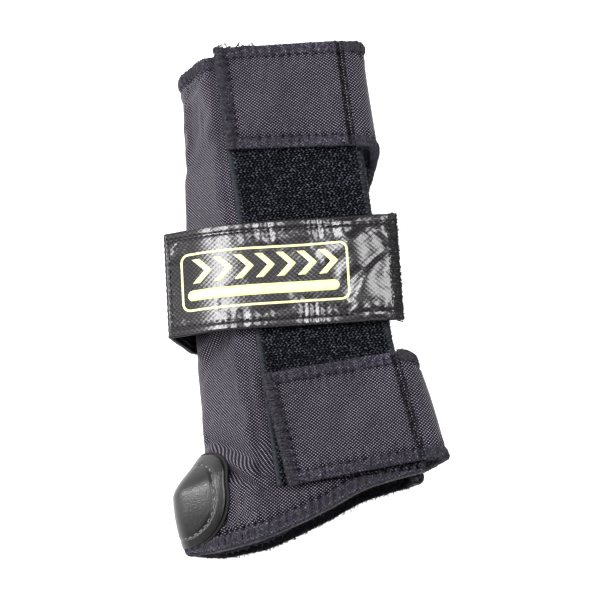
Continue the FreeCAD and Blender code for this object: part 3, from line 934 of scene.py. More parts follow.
def long_edge(name, columns, out):
    """Overlocked edge down the length of the sleeve, over the given columns up to its edge."""
    rows = slice(4, -4)
    edge = columns[-1]
    bottom = base[rows, edge] - outward[rows, edge] * SLEEVE_T
    lines = [outer_face[rows, c] for c in columns]
    normals = [outward[rows, c] for c in columns]
    overlock(name, edge_lines(lines, normals, bottom, np.array(out, float)), pitch=1.25)


long_edge("front_edge_overlock", (4, 2, 0), (1, 0, 0))
long_edge("back_edge_overlock", (-5, -3, -1), (0.15, 0, 1))


# ---- loop tape ----------------------------------------------------------------------------
LOOP_LEFT = ((-73.5, -16.2), (-17.0, -17.2), (101.0, -21.0))     # Y, X of its edges
LOOP_RIGHT = ((-73.5, 41.0), (-17.0, 33.8), (101.0, 31.2))
SELVAGE_W = 2.0
TAPE_Z, TAPE_BULGE, TAPE_T = 46.25, 0.55, 0.7
SELVAGE_Z, SELVAGE_T = 46.75, 0.55


def edge_x(edge, y):
    """X of an edge of the tape at Y."""
    ys, xs = zip(*edge)
    return np.interp(y, ys, xs)


def loop_panel():
    """Ground of the tape, down the front of the sleeve."""
    y = np.linspace(-72.4, 101.0, 150)
    t = np.linspace(0, 1, 50)
    left, right = edge_x(LOOP_LEFT, y)[:, None], edge_x(LOOP_RIGHT, y)[:, None]
    x = left + (right - left) * t
    inset = np.minimum(x - left, right - x)
    z = TAPE_Z + TAPE_BULGE * np.clip(inset / SELVAGE_W, 0, 1) ** 2
    z = z + 0.1 * np.sin(y[:, None] / 7) * np.sin(x / 9)
    yy = np.broadcast_to(y[:, None], x.shape)
    top = np.stack([x, yy, z], axis=-1)
    uv = np.stack([x, yy], axis=-1)
    ground = slab("loop_tape", top[:, ::-1], top[:, ::-1] - [0, 0, TAPE_T], uv[:, ::-1], GROUND, flip=True)
    finish_piece(ground, "root", "loop_tape", "loop_panel")


def selvages():
    """Flat woven borders of the tape, without loops."""
    for name, edge, side in (("selvage_left", LOOP_LEFT, 1), ("selvage_right", LOOP_RIGHT, -1)):
        y = np.linspace(-72.6, 101.2, 160)
        across = np.linspace(-0.35, SELVAGE_W, 6)
        x = edge_x(edge, y)[:, None] + side * across
        z = SELVAGE_Z + 0.25 * np.sin(np.linspace(0, math.pi, 6)) + 0.1 * np.sin(y[:, None] / 3.1)
        top = np.stack([x, np.broadcast_to(y[:, None], x.shape), z + 0 * x], axis=-1)
        uv = top[..., :2]
        piece = slab(name, top, top - [0, 0, SELVAGE_T], uv, SELVAGE, flip=side < 0)
        finish_piece(piece, "root", "loop_tape")


PILE_PITCH_X, PILE_PITCH_Y, PILE_SLANT = 1.5, 1.0, 0.62


def pile():
    """Loops of the tape, slanted one way and the other in turn, row by row."""
    paths, radii = [], []
    for row, y in enumerate(np.arange(-71.8, 100.4, PILE_PITCH_Y)):
        start = edge_x(LOOP_LEFT, y) + SELVAGE_W + (0.45 if row % 2 else 0.0) * PILE_PITCH_X
        stop = edge_x(LOOP_RIGHT, y) - SELVAGE_W * 0.6
        for x in np.arange(start, stop, PILE_PITCH_X):
            slant = (PILE_SLANT if row % 2 else -PILE_SLANT) + rng.normal(0, 0.13)
            jx, jy = rng.normal(0, 0.07, 2)
            height = rng.uniform(0.8, 1.25)
            span = rng.uniform(0.64, 0.8)
            d = np.array([math.cos(slant), math.sin(slant), 0])
            tip = np.array([-d[1], d[0], 0]) * rng.uniform(0.0, 0.3)
            centre = np.array([x + jx, y + jy, PILE_FOOT_Z])
            shoulder = np.array([0, 0, height * 0.8]) + tip * 0.6
            paths.append(np.array([
                centre - d * span, centre - d * span * 0.85 + shoulder, centre + [0, 0, height] + tip,
                centre + d * span * 0.85 + shoulder, centre + d * span,
            ]))
            radii.append(np.array([0.75, 1.0, 1.05, 1.0, 0.75]) * rng.uniform(0.24, 0.31))
    finish_piece(tubes("loop_pile", paths, radii, PILE), "root", "loop_tape")


loop_panel()
selvages()
pile()


# ---- flaps --------------------------------------------------------------------------------
FLAP_LOW_Z, FLAP_TOP_Z, SEAM_Z = 49.3, 50.4, 50.0
HEM = 4.6
HOOK_INSET, HOOK_T = 0.16, 0.9
NAP_COUNT = 2200


def quad_grid(corners, rows, columns):
    """Points over a four-sided outline: top-left, top-right, low-right, low-left."""
    tl, tr, lr, ll = (np.array(c, float) for c in corners)
    v = np.linspace(0, 1, rows)[:, None, None]
    u = np.linspace(0, 1, columns)[None, :, None]
    return (ll * (1 - u) + lr * u) * (1 - v) + (tl * (1 - u) + tr * u) * v


def distance_to(xy, a, b):
    """Distance of points from the line through a and b."""
    a, b = np.array(a, float), np.array(b, float)
    d = (b - a) / np.linalg.norm(b - a)
    return np.abs((xy[..., 0] - a[0]) * d[1] - (xy[..., 1] - a[1]) * d[0])


def flap_shape(corners, phase):
    """Grid of a flap's upper face, and how much of each point is hem."""
    rows, columns = 88, 104
    xy = quad_grid(corners, rows, columns)
    tl, tr, lr, ll = corners
    seam = distance_to(xy, tr, lr)
    edges = (
        (distance_to(xy, tl, tr), xy[..., 0]),
        (distance_to(xy, ll, tl), xy[..., 1]),
        (distance_to(xy, ll, lr), xy[..., 0]),
    )
    near = np.minimum(np.minimum(edges[0][0], edges[1][0]), edges[2][0])
    z = np.full(xy.shape[:2], FLAP_TOP_Z - 0.25)
    for distance, along in edges:
        z = z + gathers(along, distance, HEM, phase, 0.9) * np.where(distance <= near + 0.6, 1, 0.15)
    z = z + 0.7 * np.clip((near - HEM) / 11, 0, 1) ** 0.8
    z = z - 0.75 * bump(seam, 2.1, 0.7) - 0.3 * bump(seam, 0.4, 0.6)
    return np.concatenate([xy, z[..., None]], axis=-1), hem_share(near, HEM)


def flap_settled(grid):
    """Rise of each point of a flap in a cloth run that holds its hems and its seam."""
    coarse = finer(grid, 26, 30)
    held = np.zeros(coarse.shape[:2], bool)
    held[:2] = held[-2:] = True
    held[:, :2] = held[:, -2:] = True
    held[3:5] = held[-5:-3] = True
    moved = settle(coarse, held, grow=0.015, pressure=0.35, frames=16, cap=0.5, wavy=0.06, bending=0.5)
    return finer((moved - coarse)[..., 2:], *grid.shape[:2])[..., 0]


def flap_fold(corners, wing_body, flap_body, seam_out):
    """Blend of a flap, from its wing to itself, over the seam at its right."""
    middle = (np.array(corners[1]) + np.array(corners[2])) / 2
    normal = np.array(seam_out) / np.hypot(*seam_out)
    start, end = ((*(middle + normal * offset), SEAM_Z) for offset in (1.0, -2.2))
    return cross(wing_body, flap_body, start, end)


def flap(name, corners, wing_body, flap_body, seam_out, nodes, phase):
    """Hemmed nylon flap with its free edges on the left, top and bottom, sewn down at the right."""
    grid, hem = flap_shape(corners, phase)
    grid[..., 2] += flap_settled(grid)
    under = grid.copy()
    under[..., 2] = np.minimum(grid[..., 2] - 0.5, FLAP_LOW_Z + 0.05)
    piece = slab(name, grid, under, grid[..., :2], NYLON, hem=hem)
    brushed(name + "_nap", grid, hem, NAP_COUNT, flap_body)
    finish_piece(piece, flap_fold(corners, wing_body, flap_body, seam_out), "nylon", nodes[0])
    upward = np.broadcast_to(np.array([0, 0, 1.0]), grid[:, 0].shape)
    lines = [grid[:, c] for c in (7, 4, 2, 0)]
    lines = edge_lines(lines, [upward] * len(lines), under[:, 0], np.array([-1.0, 0, 0]))
    overlock(name + "_overlock", lines, pitch=1.05, thread=0.27, body=flap_body, jitter=0.2)
    flap_hooks(name + "_hooks", corners, flap_body, nodes[1])
    vertices = [tuple(v) for v in grid.reshape(-1, 3)]
    tree = BVHTree.FromPolygons(vertices, grid_faces(*grid.shape[:2]).tolist())

    def top_z(x, y):
        hit = tree.ray_cast(Vector((x, y, FLAP_TOP_Z + 30)), Vector((0, 0, -1)))[0]
        return FLAP_TOP_Z if hit is None else hit.z

    return top_z


def flap_hooks(name, corners, flap_body, node):
    """Hook tape under a flap."""
    inner = [(np.array(c) + (np.mean(corners, axis=0) - c) * HOOK_INSET).tolist() for c in corners]
    xy = quad_grid(inner, 12, 14)
    top = np.concatenate([xy, np.full(xy.shape[:2] + (1,), FLAP_LOW_Z - 0.05)], axis=-1)
    finish_piece(slab(name, top, top - [0, 0, HOOK_T], xy, HOOKS), flap_body, "hook_tape", node)


def inner_line(a, b, offset, trim_a=0.0, trim_b=0.0):
    """Line parallel to a-b, offset to its left, shortened at its ends."""
    a, b = np.array(a, float), np.array(b, float)
    d = (b - a) / np.linalg.norm(b - a)
    n = np.array([-d[1], d[0]]) * offset
    return a + n + d * trim_a, b + n - d * trim_b


def flap_stitches(name, corners, top_z, flap_body, wing_body, seam_out):
    """Two rows along the hems, and three slanted rows that sew the flap to its wing."""
    tl, tr, lr, ll = corners

    def run(a, b, lift, pitch, **differs):
        line = resample(np.array([a, b]), 1.5)
        path = np.array([(x, y, top_z(x, y) + lift) for x, y in line])
        return path, np.tile([0, 0, 1.0], (len(path), 1)), pitch, differs

    hems = [
        run(*inner_line(tr, tl, HEM, 2, HEM), 0.05, 2.3), run(*inner_line(tl, ll, HEM, HEM, HEM), 0.05, 2.3),
        run(*inner_line(ll, lr, HEM, HEM, 2), 0.05, 2.3), run(*inner_line(tl, ll, 1.3, 1, 1), 0.05, 2.6),
    ]
    sew(name + "_stitches", hems, SEAM, flap_body, "edge_thread", thread=0.2, slant=0.15)
    seams = [run(*inner_line(tr, lr, -offset, 0.8, 0.8), 0.12, 1.5, slant=slant)
             for offset, slant in ((0.9, 0.5), (2.1, -0.4), (3.1, 0.35))]
    fold = flap_fold(corners, wing_body, flap_body, seam_out)
    sew(name + "_seam", seams, SEAM, fold, "edge_thread", thread=0.3, gap=0.1, lift=0.2)


UPPER_FLAP = ((-20.4, 103.6), (30.9, 100.7), (30.9, 57.2), (-19.9, 61.7))
LOWER_FLAP = ((-17.1, -29.0), (36.2, -26.4), (42.0, -69.4), (-11.8, -73.2))
LOWER_AXIS = (0.9905, 0.1376)
upper_z = flap("upper_flap_cloth", UPPER_FLAP, "upper_wing", "upper_flap", (1, 0),
               ("upper_flap_fabric", "upper_flap_hook_tape"), 0.4)
lower_z = flap("lower_flap_cloth", LOWER_FLAP, "lower_wing", "lower_flap", LOWER_AXIS,
               ("lower_flap_fabric", "lower_flap_hook_tape"), 2.1)
flap_stitches("upper_flap", UPPER_FLAP, upper_z, "upper_flap", "upper_wing", (1, 0))
flap_stitches("lower_flap", LOWER_FLAP, lower_z, "lower_flap", "lower_wing", LOWER_AXIS)


# ---- wings --------------------------------------------------------------------------------
WING_T = 2.4
WINGS = {
    "upper_wing": {
        "y": (30.0, 110.0), "corner_x": (40.2, 40.2), "radius": (7.0, 7.0), "fold_x": (33.0, 33.0),
        "seam_x": (30.9, 30.9), "hand": ((8.0, 41.0), (52.0, 57.2)), "arm": ((8.0, 100.9), (52.0, 99.8)),
    },
    "lower_wing": {
        "y": (-76.0, -42.0, -30.0, -18.0),
        "corner_x": (53.6, 48.6, 44.3, 39.5), "radius": (7.4, 7.4, 5.4, 3.2),
        "fold_x": (42.29, 36.94, 35.05, 33.16), "seam_x": (43.0, 38.3, 36.7, 35.0),
        "hand": ((8.0, -69.8), (52.0, -69.4)), "arm": ((8.0, -43.0), (52.0, -25.6)),
    },
}
WING_KEYS = ("corner_x", "radius", "fold_x", "seam_x")
WING_SPANS = (46, 14, 12)
WING_ROWS = 70
WING_FOOT_Z = 5.5


def wing_section(shape, y):
    """Section of a wing at Y, from its fold up round the corner to the seam of its flap."""
    value = {key: float(smooth_between(shape["y"], shape[key], y)) for key in WING_KEYS}
    slope = (value["corner_x"] - value["fold_x"]) / (FLAP_TOP_Z - FOLD_Z)
    foot = value["fold_x"] - slope * (FOLD_Z - WING_FOOT_Z) + 0.25
    corners = [(foot, WING_FOOT_Z, 0), (value["corner_x"], FLAP_TOP_Z, value["radius"]),
               (value["seam_x"] - 0.2, FLAP_TOP_Z, 0)]
    return rounded_path(corners, WING_SPANS)


def wing_ends(shape, sections, column):
    """Y of a wing's hand and forearm edges at a column, found by its height there."""
    (z0, a0), (z1, a1) = shape["hand"]
    (_, b0), (_, b1) = shape["arm"]
    low, high = a1, b1
    for _ in range(4):
        ends = []
        for y, start, stop in ((low, a0, a1), (high, b0, b1)):
            k = int(np.clip(round(y - shape["y"][0]), 0, len(sections) - 1))
            z = sections[k][0][column, 1]
            ends.append(start + (stop - start) * (z - z0) / (z1 - z0))
        low, high = ends
    return low, high


def wing_grid(shape):
    """Points and outward normals of a wing, by row along Y and column round the section."""
    ys = shape["y"]
    sections = [wing_section(shape, y) for y in np.arange(ys[0], ys[-1] + 0.5, 1.0)]
    columns = len(sections[0][0])
    grid, normal = np.zeros((WING_ROWS, columns, 3)), np.zeros((WING_ROWS, columns, 3))
    for c in range(columns):
        for r, y in enumerate(np.linspace(*wing_ends(shape, sections, c), WING_ROWS)):
            t = np.clip(y - ys[0], 0, len(sections) - 1.001)
            k, f = int(t), t - int(t)
            p, n = (sections[k][i][c] * (1 - f) + sections[k + 1][i][c] * f for i in (0, 1))
            n = n / np.linalg.norm(n)
            grid[r, c] = (p[0], y, p[1])
            normal[r, c] = (n[0], 0, n[1])
    return grid, normal


def wing(body, shape, phase):
    """Nylon and terry of a wing, overlocked at both ends."""
    grid, normal = wing_grid(shape)
    step = np.linalg.norm(np.diff(grid, axis=1), axis=2)
    along = np.concatenate([np.zeros((WING_ROWS, 1)), np.cumsum(step, axis=1)], axis=1)
    low_edge = grid[..., 1] - grid[:1, :, 1]
    high_edge = grid[-1:, :, 1] - grid[..., 1]
    puff = gathers(along, low_edge, HEM, phase, 0.8) + gathers(along, high_edge, HEM, phase + 1, 0.8)
    hem = hem_share(np.minimum(low_edge, high_edge), HEM)
    puff += 0.35 * np.sin(along / 9 + phase) * np.sin(grid[..., 1] / 11)
    puff *= np.clip((along[:, -1:] - along) / 3.0, 0, 1)
    top = grid + normal * puff[..., None]
    middle = grid + normal * (puff * 0.5 - 1.0)[..., None]
    inside = grid + normal * (rng.normal(0, 0.12, puff.shape) - WING_T)[..., None]
    uv = np.stack([along, grid[..., 1]], axis=-1)
    fold_x = shape["fold_x"][0]
    fold = cross("root", body, (fold_x, 0, FOLD_Z - 2.5), (fold_x, 0, FOLD_Z + 3.5))
    outer = slab(body + "_cloth", top, middle, uv, NYLON, hem=hem)
    finish_piece(outer, fold, "nylon", body + "_shell")
    first = int(np.searchsorted(grid[WING_ROWS // 2, :, 2], FOLD_Z + 0.6))
    under = middle - normal * 0.05
    lining = slab(body + "_terry", under[:, first:], inside[:, first:], uv[:, first:], TERRY)
    finish_piece(lining, body, "terry_lining", body + "_lining")
    for label, rows, sign in (("hand", (7, 5, 2, 0), -1), ("arm", (-8, -6, -3, -1), 1)):
        lines = edge_lines([top[r, first:] for r in rows], [normal[r, first:] for r in rows],
                           inside[rows[-1], first:], np.array([0.0, sign, 0.0]))
        overlock(f"{body}_{label}_overlock", lines, body=body)


for index, (body, shape) in enumerate(WINGS.items()):
    wing(body, shape, 0.7 + index)


# ---- wrist strap --------------------------------------------------------------------------
STRAP_W, STRAP_TOP, STRAP_RIGHT, STRAP_LEFT = 42.5, 51.4, 41.0, -49.5
STRAP_BEND_X, STRAP_BEND_R, STRAP_DROP = -28.0, 55.0, 10.0
STRAP_CENTRE, STRAP_YAW = np.array([-4.0, 9.3]), math.radians(-3.5)
YAW_COS, YAW_SIN = math.cos(STRAP_YAW), math.sin(STRAP_YAW)
COVER_T = 0.7
FRAY_COUNT = 46


def askew(points):
    """Turns strap points, whose Y is from the strap's centre line, into their place."""
    points = np.asarray(points, float)
    dx, dy = points[..., 0] - STRAP_CENTRE[0], points[..., 1]
    x = STRAP_CENTRE[0] + dx * YAW_COS - dy * YAW_SIN
    y = STRAP_CENTRE[1] + dx * YAW_SIN + dy * YAW_COS
    return np.stack([x, y, points[..., 2]], axis=-1)


strap_path, strap_normal = rounded_path([
    (STRAP_RIGHT, STRAP_TOP, 0), (STRAP_BEND_X, STRAP_TOP, STRAP_BEND_R),
    (STRAP_LEFT - 0.3, STRAP_TOP - STRAP_DROP - 0.15, 0)], (60, 12, 24))
strap_length = np.concatenate([[0], np.cumsum(np.linalg.norm(np.diff(strap_path, axis=0), axis=1))])
STRAP_LENGTH = strap_length[-1]


CREASES = (                                  # from, to (along, across), width, height
    ((3, 17), (32, 4), 3.0, 0.5),
    ((3, 9), (22, -6), 2.2, -0.45),
    ((5, -15), (40, -11), 2.4, 0.4),
    ((30, 15), (62, 13), 2.2, 0.25),
    ((6, 4), (20, -14), 2.6, 0.35),
    ((12, 18), (26, 12), 1.8, -0.35),
    ((40, -14), (66, -16), 2.0, -0.25),
)


def strap_swell(u, v):
    """Creases of the coated cover, u from its thumb end and v from its centre line."""
    edge = STRAP_W / 2 - np.abs(v)
    hem = 1 / (1 + np.exp((edge - 3.3) / 0.3))
    swell = 0.3 * hem - 0.35 * bump(edge, 3.6, 0.45) - 0.6 * np.clip(1 - edge / 0.7, 0, 1) ** 2
    upper = v > 0
    turn = 2 * math.pi * u / 6.4 + 1.5 * np.sin(u / 5.1) + 0.9 * np.sin(u / 2.7) + np.where(upper, 0, 2.0)
    strength = np.clip((STRAP_LENGTH - 8 - u) / 34.0, 0.0, 1) * (0.55 + 0.45 * np.sin(u / 4.3 + 2 * upper))
    strength = strength * np.where(upper, 1.0, 0.7)
    swell += 0.42 * np.sin(turn) * strength * bump(edge, 1.6, 2.4)
    swell += 0.3 * np.sin(turn + 0.5) * strength * bump(edge, 5.6, 2.8)
    for a, b, width, height in CREASES:
        swell += height * ridge_line(u, v, a, b, width)
    swell += 1.7 * bump(u - 0.25 * v, 15, 8) * np.clip(edge / 5, 0, 1)
    return swell + 0.07 * np.sin(u / 8.5) * np.sin(v / 6.0)


def strap_at(u, v, height=0.0):
    """Point and normal on the strap, before creases."""
    x, z = (np.interp(u, strap_length, strap_path[:, k]) for k in (0, 1))
    nx, nz = (np.interp(u, strap_length, strap_normal[:, k]) for k in (0, 1))
    points = askew(np.stack([x + nx * height, v + 0 * x, z + nz * height], axis=-1))
    return points, np.stack([nx * YAW_COS, nx * YAW_SIN, nz], axis=-1)


def strap_narrowing(u):
    """The strap is a little narrower towards its little-finger end."""
    return 1 - 0.035 * np.clip((u - 50) / 40, 0, 1)


def strap_cover_grid():
    across = np.linspace(-STRAP_W / 2, STRAP_W / 2, 76)
    u, v = np.meshgrid(np.linspace(0.2, STRAP_LENGTH, 150), across, indexing="ij")
    v = v * strap_narrowing(u)
    points, normals = strap_at(u, v)
    swell = strap_swell(u, v)
    coarse = finer(points + normals * swell[..., None], 50, 26)
    held = np.zeros(coarse.shape[:2], bool)
    held[:1] = held[-1:] = True
    held[:, :1] = held[:, -1:] = True
    held[:, 2:3] = held[:, -3:-2] = True
    moved = settle(coarse, held, grow=0.006, pressure=0.2, frames=16, cap=0.14, wavy=0.015, bending=2.0)
    lift = ((moved - coarse) * finer(normals, 50, 26)).sum(axis=-1)
    swell = swell + finer(lift[..., None], *u.shape)[..., 0]
    return u, v, points, normals, swell


cover_u, cover_v, cover_points, cover_normals, cover_swell = strap_cover_grid()
STRAP_Y = STRAP_CENTRE[1]
STRAP_BLEND = cross("strap_side", "wrist_strap", (-50.7, STRAP_Y, 39.0), (-46.1, STRAP_Y, 42.6))


def cover_height(u, v):
    """Height of the finished cover above the plain strap."""
    rows, columns = cover_swell.shape
    r = np.clip((u - cover_u[0, 0]) / (cover_u[1, 0] - cover_u[0, 0]), 0, rows - 1.001)
    c = np.clip((v / strap_narrowing(u) / STRAP_W + 0.5) * (columns - 1), 0, columns - 1.001)
    i, j = r.astype(int), c.astype(int)
    f, g = r - i, c - j
    low = cover_swell[i, j] * (1 - g) + cover_swell[i, j + 1] * g
    high = cover_swell[i + 1, j] * (1 - g) + cover_swell[i + 1, j + 1] * g
    return low * (1 - f) + high * f


def on_strap(u, v, lift=0.0):
    """Point and normal on the finished cover."""
    points, normals = strap_at(u, v)
    return points + normals * (cover_height(u, v) + lift)[..., None], normals


def strap_cover():
    top = cover_points + cover_normals * cover_swell[..., None]
    depth = np.clip(cover_swell, -0.4, 0.4) * 0.3 - COVER_T - 0.1
    under = cover_points + cover_normals * depth[..., None]
    uv = np.stack([cover_u, cover_v], axis=-1)
    piece = slab("strap_cover_coated", top[:, ::-1], under[:, ::-1], uv[:, ::-1], VINYL)
    finish_piece(piece, STRAP_BLEND, "coated_cover", "strap_cover")


def strap_under(name, span, width, depths, material, slot, node, body):
    """Layer of the strap between two depths under its cover."""
    u, v = np.meshgrid(np.linspace(*span, 70), np.linspace(-width / 2, width / 2, 20), indexing="ij")
    points, normals = strap_at(u, v)
    near, far = ((points - normals * depth)[:, ::-1] for depth in depths)
    piece = slab(name, near, far, np.stack([u, v], axis=-1)[:, ::-1], material)
    finish_piece(piece, body, slot, node)


strap_cover()
strap_under("strap_backing", (0.0, STRAP_LENGTH - 0.1), 41.8, (0.95, 2.1), WEBBING, "webbing",
            "strap_webbing", STRAP_BLEND)
strap_under("strap_hooks", (3.0, 56.0), 38.4, (2.2, 3.45), HOOKS, "hook_tape",
            "strap_hook_tape", "wrist_strap")


def strap_lines():
    """Stitching of the strap: both hems, the thumb end and the little-finger end."""
    half = STRAP_W / 2
    near, far = 1.5, STRAP_LENGTH - 2.5
    rows = (
        ((near, half - 3.6), (far, (half - 3.4) * 0.965), 2.4),
        ((near, -half + 3.6), (far, (-half + 3.4) * 0.965), 2.4),
        ((3.6, half - 1.5), (3.6, -half + 1.5), 2.1),
        ((STRAP_LENGTH - 1.6, half - 3.8), (STRAP_LENGTH - 1.6, -half + 3.8), 2.6),
    )
    runs = []
    for a, b, pitch in rows:
        line = resample(np.array([a, b]), 1.2)
        runs.append((*on_strap(line[:, 0], line[:, 1], 0.05), pitch, {}))
    sew("strap_stitches", runs, DARK_SEAM, STRAP_BLEND, "webbing", thread=0.22, gap=0.3, slant=0.1, lift=0.1)


def strap_end():
    """Bound edge at the thumb end, overlocked both ways."""
    v = np.linspace(-STRAP_W / 2, STRAP_W / 2, 30)
    tops = [on_strap(np.full_like(v, u), v) for u in (3.3, 2.2, 1.1, 0.15)]
    bottom, _ = strap_at(np.full_like(v, 0.1), v, -2.6)
    lines = edge_lines([t[0] for t in tops], [t[1] for t in tops], bottom, np.array([YAW_COS, YAW_SIN, 0]))
    overlock("strap_end_overlock", lines, pitch=0.95, thread=0.27, body="wrist_strap", jitter=0.16,
             material=DARK_SEAM)
    crossed = [line[::-1] for line in lines]
    overlock("strap_end_overlock_b", crossed, pitch=1.9, thread=0.22, body="wrist_strap", jitter=0.3,
             material=DARK_SEAM)


def strap_fray():
    """Cut ends of threads at the strap's thumb end."""
    paths, radii = [], []
    for _ in range(FRAY_COUNT):
        at = rng.uniform(-STRAP_W / 2, STRAP_W / 2)
        point, _ = strap_at(np.array(0.0), np.array(at), rng.uniform(-2.5, 0.2))
        length = rng.uniform(0.5, 1.9)
        heading = np.array([0.8, rng.normal(0, 0.8), rng.normal(0, 0.35)])
        bend = rng.normal(0, 0.5, 3)
        t = np.linspace(0, 1, 5)[:, None]
        paths.append(point + heading * length * t + bend * length * 0.5 * t ** 2)
        radii.append(np.linspace(0.11, 0.05, 5))
    finish_piece(tubes("strap_end_fray", paths, radii, OVERLOCK, sides=4), "wrist_strap", "webbing")


strap_lines()
strap_end()
strap_fray()


# ---- print: a plain frame, a bar and a row of chevrons ------------------------------------
INK_T, INK_DEPTH, INK_COLUMNS = 0.1, 0.12, 4
FRAME_STEP = 0.9
CHEVRONS, CHEVRON_PITCH, CHEVRON_X = 7, 8.2, -39.5


def ink_strip(centre, half_width, closed=False):
    """Raised strip of ink along a line of (u, v) points, as points and faces."""
    centre = np.asarray(centre, float)
    if closed:
        ahead, behind = np.roll(centre, -1, axis=0), np.roll(centre, 1, axis=0)
    else:
        ahead = np.concatenate([centre[1:], centre[-1:]])
        behind = np.concatenate([centre[:1], centre[:-1]])
    d = ahead - behind
    d /= np.linalg.norm(d, axis=1, keepdims=True)
    side = np.stack([-d[:, 1], d[:, 0]], axis=1) * np.reshape(half_width, (-1, 1))
    return ink_between(centre + side, centre - side, closed)


def ink_between(left, right, closed=False):
    """Raised ink between two lines of (u, v) points, as points and faces."""
    rows, across = len(left), INK_COLUMNS
    t = np.linspace(0, 1, across)
    uv = left[:, None] * (1 - t)[None, :, None] + right[:, None] * t[None, :, None]
    top, _ = on_strap(uv[..., 0], uv[..., 1], INK_T)
    low, _ = on_strap(uv[..., 0], uv[..., 1], -INK_DEPTH)
    n = rows * across
    faces = []
    for r in range(rows if closed else rows - 1):
        q = (r + 1) % rows
        for k in range(across - 1):
            a, b, c, d = r * across + k, r * across + k + 1, q * across + k + 1, q * across + k
            faces += [(a, b, c, d), (a + n, d + n, c + n, b + n)]
        for k in (0, across - 1):
            a, b = r * across + k, q * across + k
            faces.append((a, b, b + n, a + n) if k == 0 else (b, a, a + n, b + n))
    if not closed:
        for r, order in ((0, 1), (rows - 1, -1)):
            for k in range(across - 1):
                a, b = r * across + k, r * across + k + 1
                faces.append((b, a, a + n, b + n) if order > 0 else (a, b, b + n, a + n))
    return np.concatenate([top.reshape(-1, 3), low.reshape(-1, 3)]), faces


def rounded_loop(u0, u1, v0, v1, radius):
    """Closed outline of a rounded rectangle in strap coordinates."""
    points = []
    u0, u1, v0, v1 = u0 + radius, u1 - radius, v0 + radius, v1 - radius
    corners = ((u1, v1, 0), (u0, v1, 90), (u0, v0, 180), (u1, v0, 270))
    for u, v, first in corners:
        for k in range(9):
            a = math.radians(first + k * 90 / 8)
            points.append((u + radius * math.cos(a), v + radius * math.sin(a)))
    points.append(points[0])
    return resample(np.array(points), FRAME_STEP)[:-1]


def strap_u(x):
    """Distance along the strap at which its unturned X is x."""
    return float(np.interp(-x, -strap_path[:, 0], strap_length))


def ink_bar():
    """Bar with round ends along the lower side of the frame."""
    start, half = strap_u(17.4), 2.1
    length = strap_u(-41.6) - start
    end = np.linspace(0, 1, 6) ** 1.6 * half
    along = np.unique(np.concatenate([end, np.linspace(half, length - half, 70), length - end[::-1]]))
    nearest = np.minimum(np.minimum(along, length - along), half)
    width = np.sqrt(np.clip(half ** 2 - (half - nearest) ** 2, 0.0004, None))
    return ink_strip(np.stack([start + along, np.full_like(along, -5.9)], axis=1), width)


def ink_chevron(x):
    """Chevron whose open ends start at X on the strap."""
    half_height, stroke, middle = 4.8, 3.0, 3.6
    t = np.linspace(-1, 1, 15)
    tip = x + half_height * (1 - np.abs(t))
    left, right = (np.stack([[strap_u(at + wide) for at in tip], middle + half_height * t], axis=1)
                   for wide in (0.0, stroke))
    return ink_between(left, right)


def print_motif():
    """Frame, bar and chevrons, as one piece of ink."""
    ring = rounded_loop(strap_u(21.0), strap_u(-43.6), -11.7, 10.6, 3.0)
    strips = [ink_strip(ring, 0.45, closed=True), ink_bar()]
    strips += [ink_chevron(CHEVRON_X + CHEVRON_PITCH * k) for k in range(CHEVRONS)]
    faces, count = [], 0
    for points, own_faces in strips:
        faces += [tuple(i + count for i in face) for face in own_faces]
        count += len(points)
    piece = new_object("strap_motif", np.concatenate([points for points, _ in strips]), faces, INK)
    finish_piece(piece, "wrist_strap", "print_ink", "strap_print")


print_motif()


# ---- elastic ------------------------------------------------------------------------------
ELASTIC_STEP, RIB_H, RIB_PITCH = 0.8, 0.12, 2.6


def elastic_band(name, path, thickness, half, body, nodes):
    """Ribbed elastic along a path of (x, z), with slightly scalloped edges."""
    path = resample(np.array(path, float), ELASTIC_STEP)
    d = np.gradient(path, axis=0)
    d /= np.linalg.norm(d, axis=1, keepdims=True)
    normal = np.stack([d[:, 1], -d[:, 0]], axis=1)
    v = np.linspace(-half, half, 60)
    length = np.arange(len(path)) * ELASTIC_STEP
    ribs = RIB_H * np.sin(2 * math.pi * v / RIB_PITCH)[None] * np.ones((len(path), 1))
    scallop = 1 + 0.006 * np.sin(length * 2.4)[:, None]
    surfaces = []
    for side in (1, -1):
        offset = side * (thickness / 2 - RIB_H) + side * ribs
        x = path[:, :1] + normal[:, :1] * offset
        z = path[:, 1:] + normal[:, 1:] * offset
        surfaces.append(askew(np.stack([x, v[None] * scallop + 0 * x, z], axis=-1)))
    uv = np.stack(np.broadcast_arrays(length[:, None], v[None]), axis=-1)
    finish_piece(slab(name, *surfaces, uv, ELASTIC), body, "elastic", *nodes)


def bezier(points, n=40):
    """Curve from the first point to the last, drawn by the two between them."""
    a, b, c, d = (np.array(p, float) for p in points)
    t = np.linspace(0, 1, n)[:, None]
    return a * (1 - t) ** 3 + 3 * b * t * (1 - t) ** 2 + 3 * c * t * t * (1 - t) + d * t ** 3


def elastic_root():
    """Elastic across the palm side, and round the little-finger side up to the strap."""
    elastic_band("elastic_anchor", [(25.0, 0.7), (-38.0, 0.7)], 1.4, STRAP_W / 2, "root", ("strap_anchor",))
    lower = bezier([(-38.0, 0.7), (-44.5, 0.7), (-43.0, 8.0), (-46.5, 22.0)])
    upper = bezier([(-46.5, 22.0), (-48.2, 30.0), (-49.3, 36.0), (-49.8, 39.6)])
    fold = cross("root", "strap_side", (-40.2, STRAP_Y, 0.2), (-43.6, STRAP_Y, 5.0))
    path = np.concatenate([lower, upper[1:]])
    elastic_band("elastic_side", path, 1.4, STRAP_W / 2 - 0.6, fold, ("strap_elastic",))


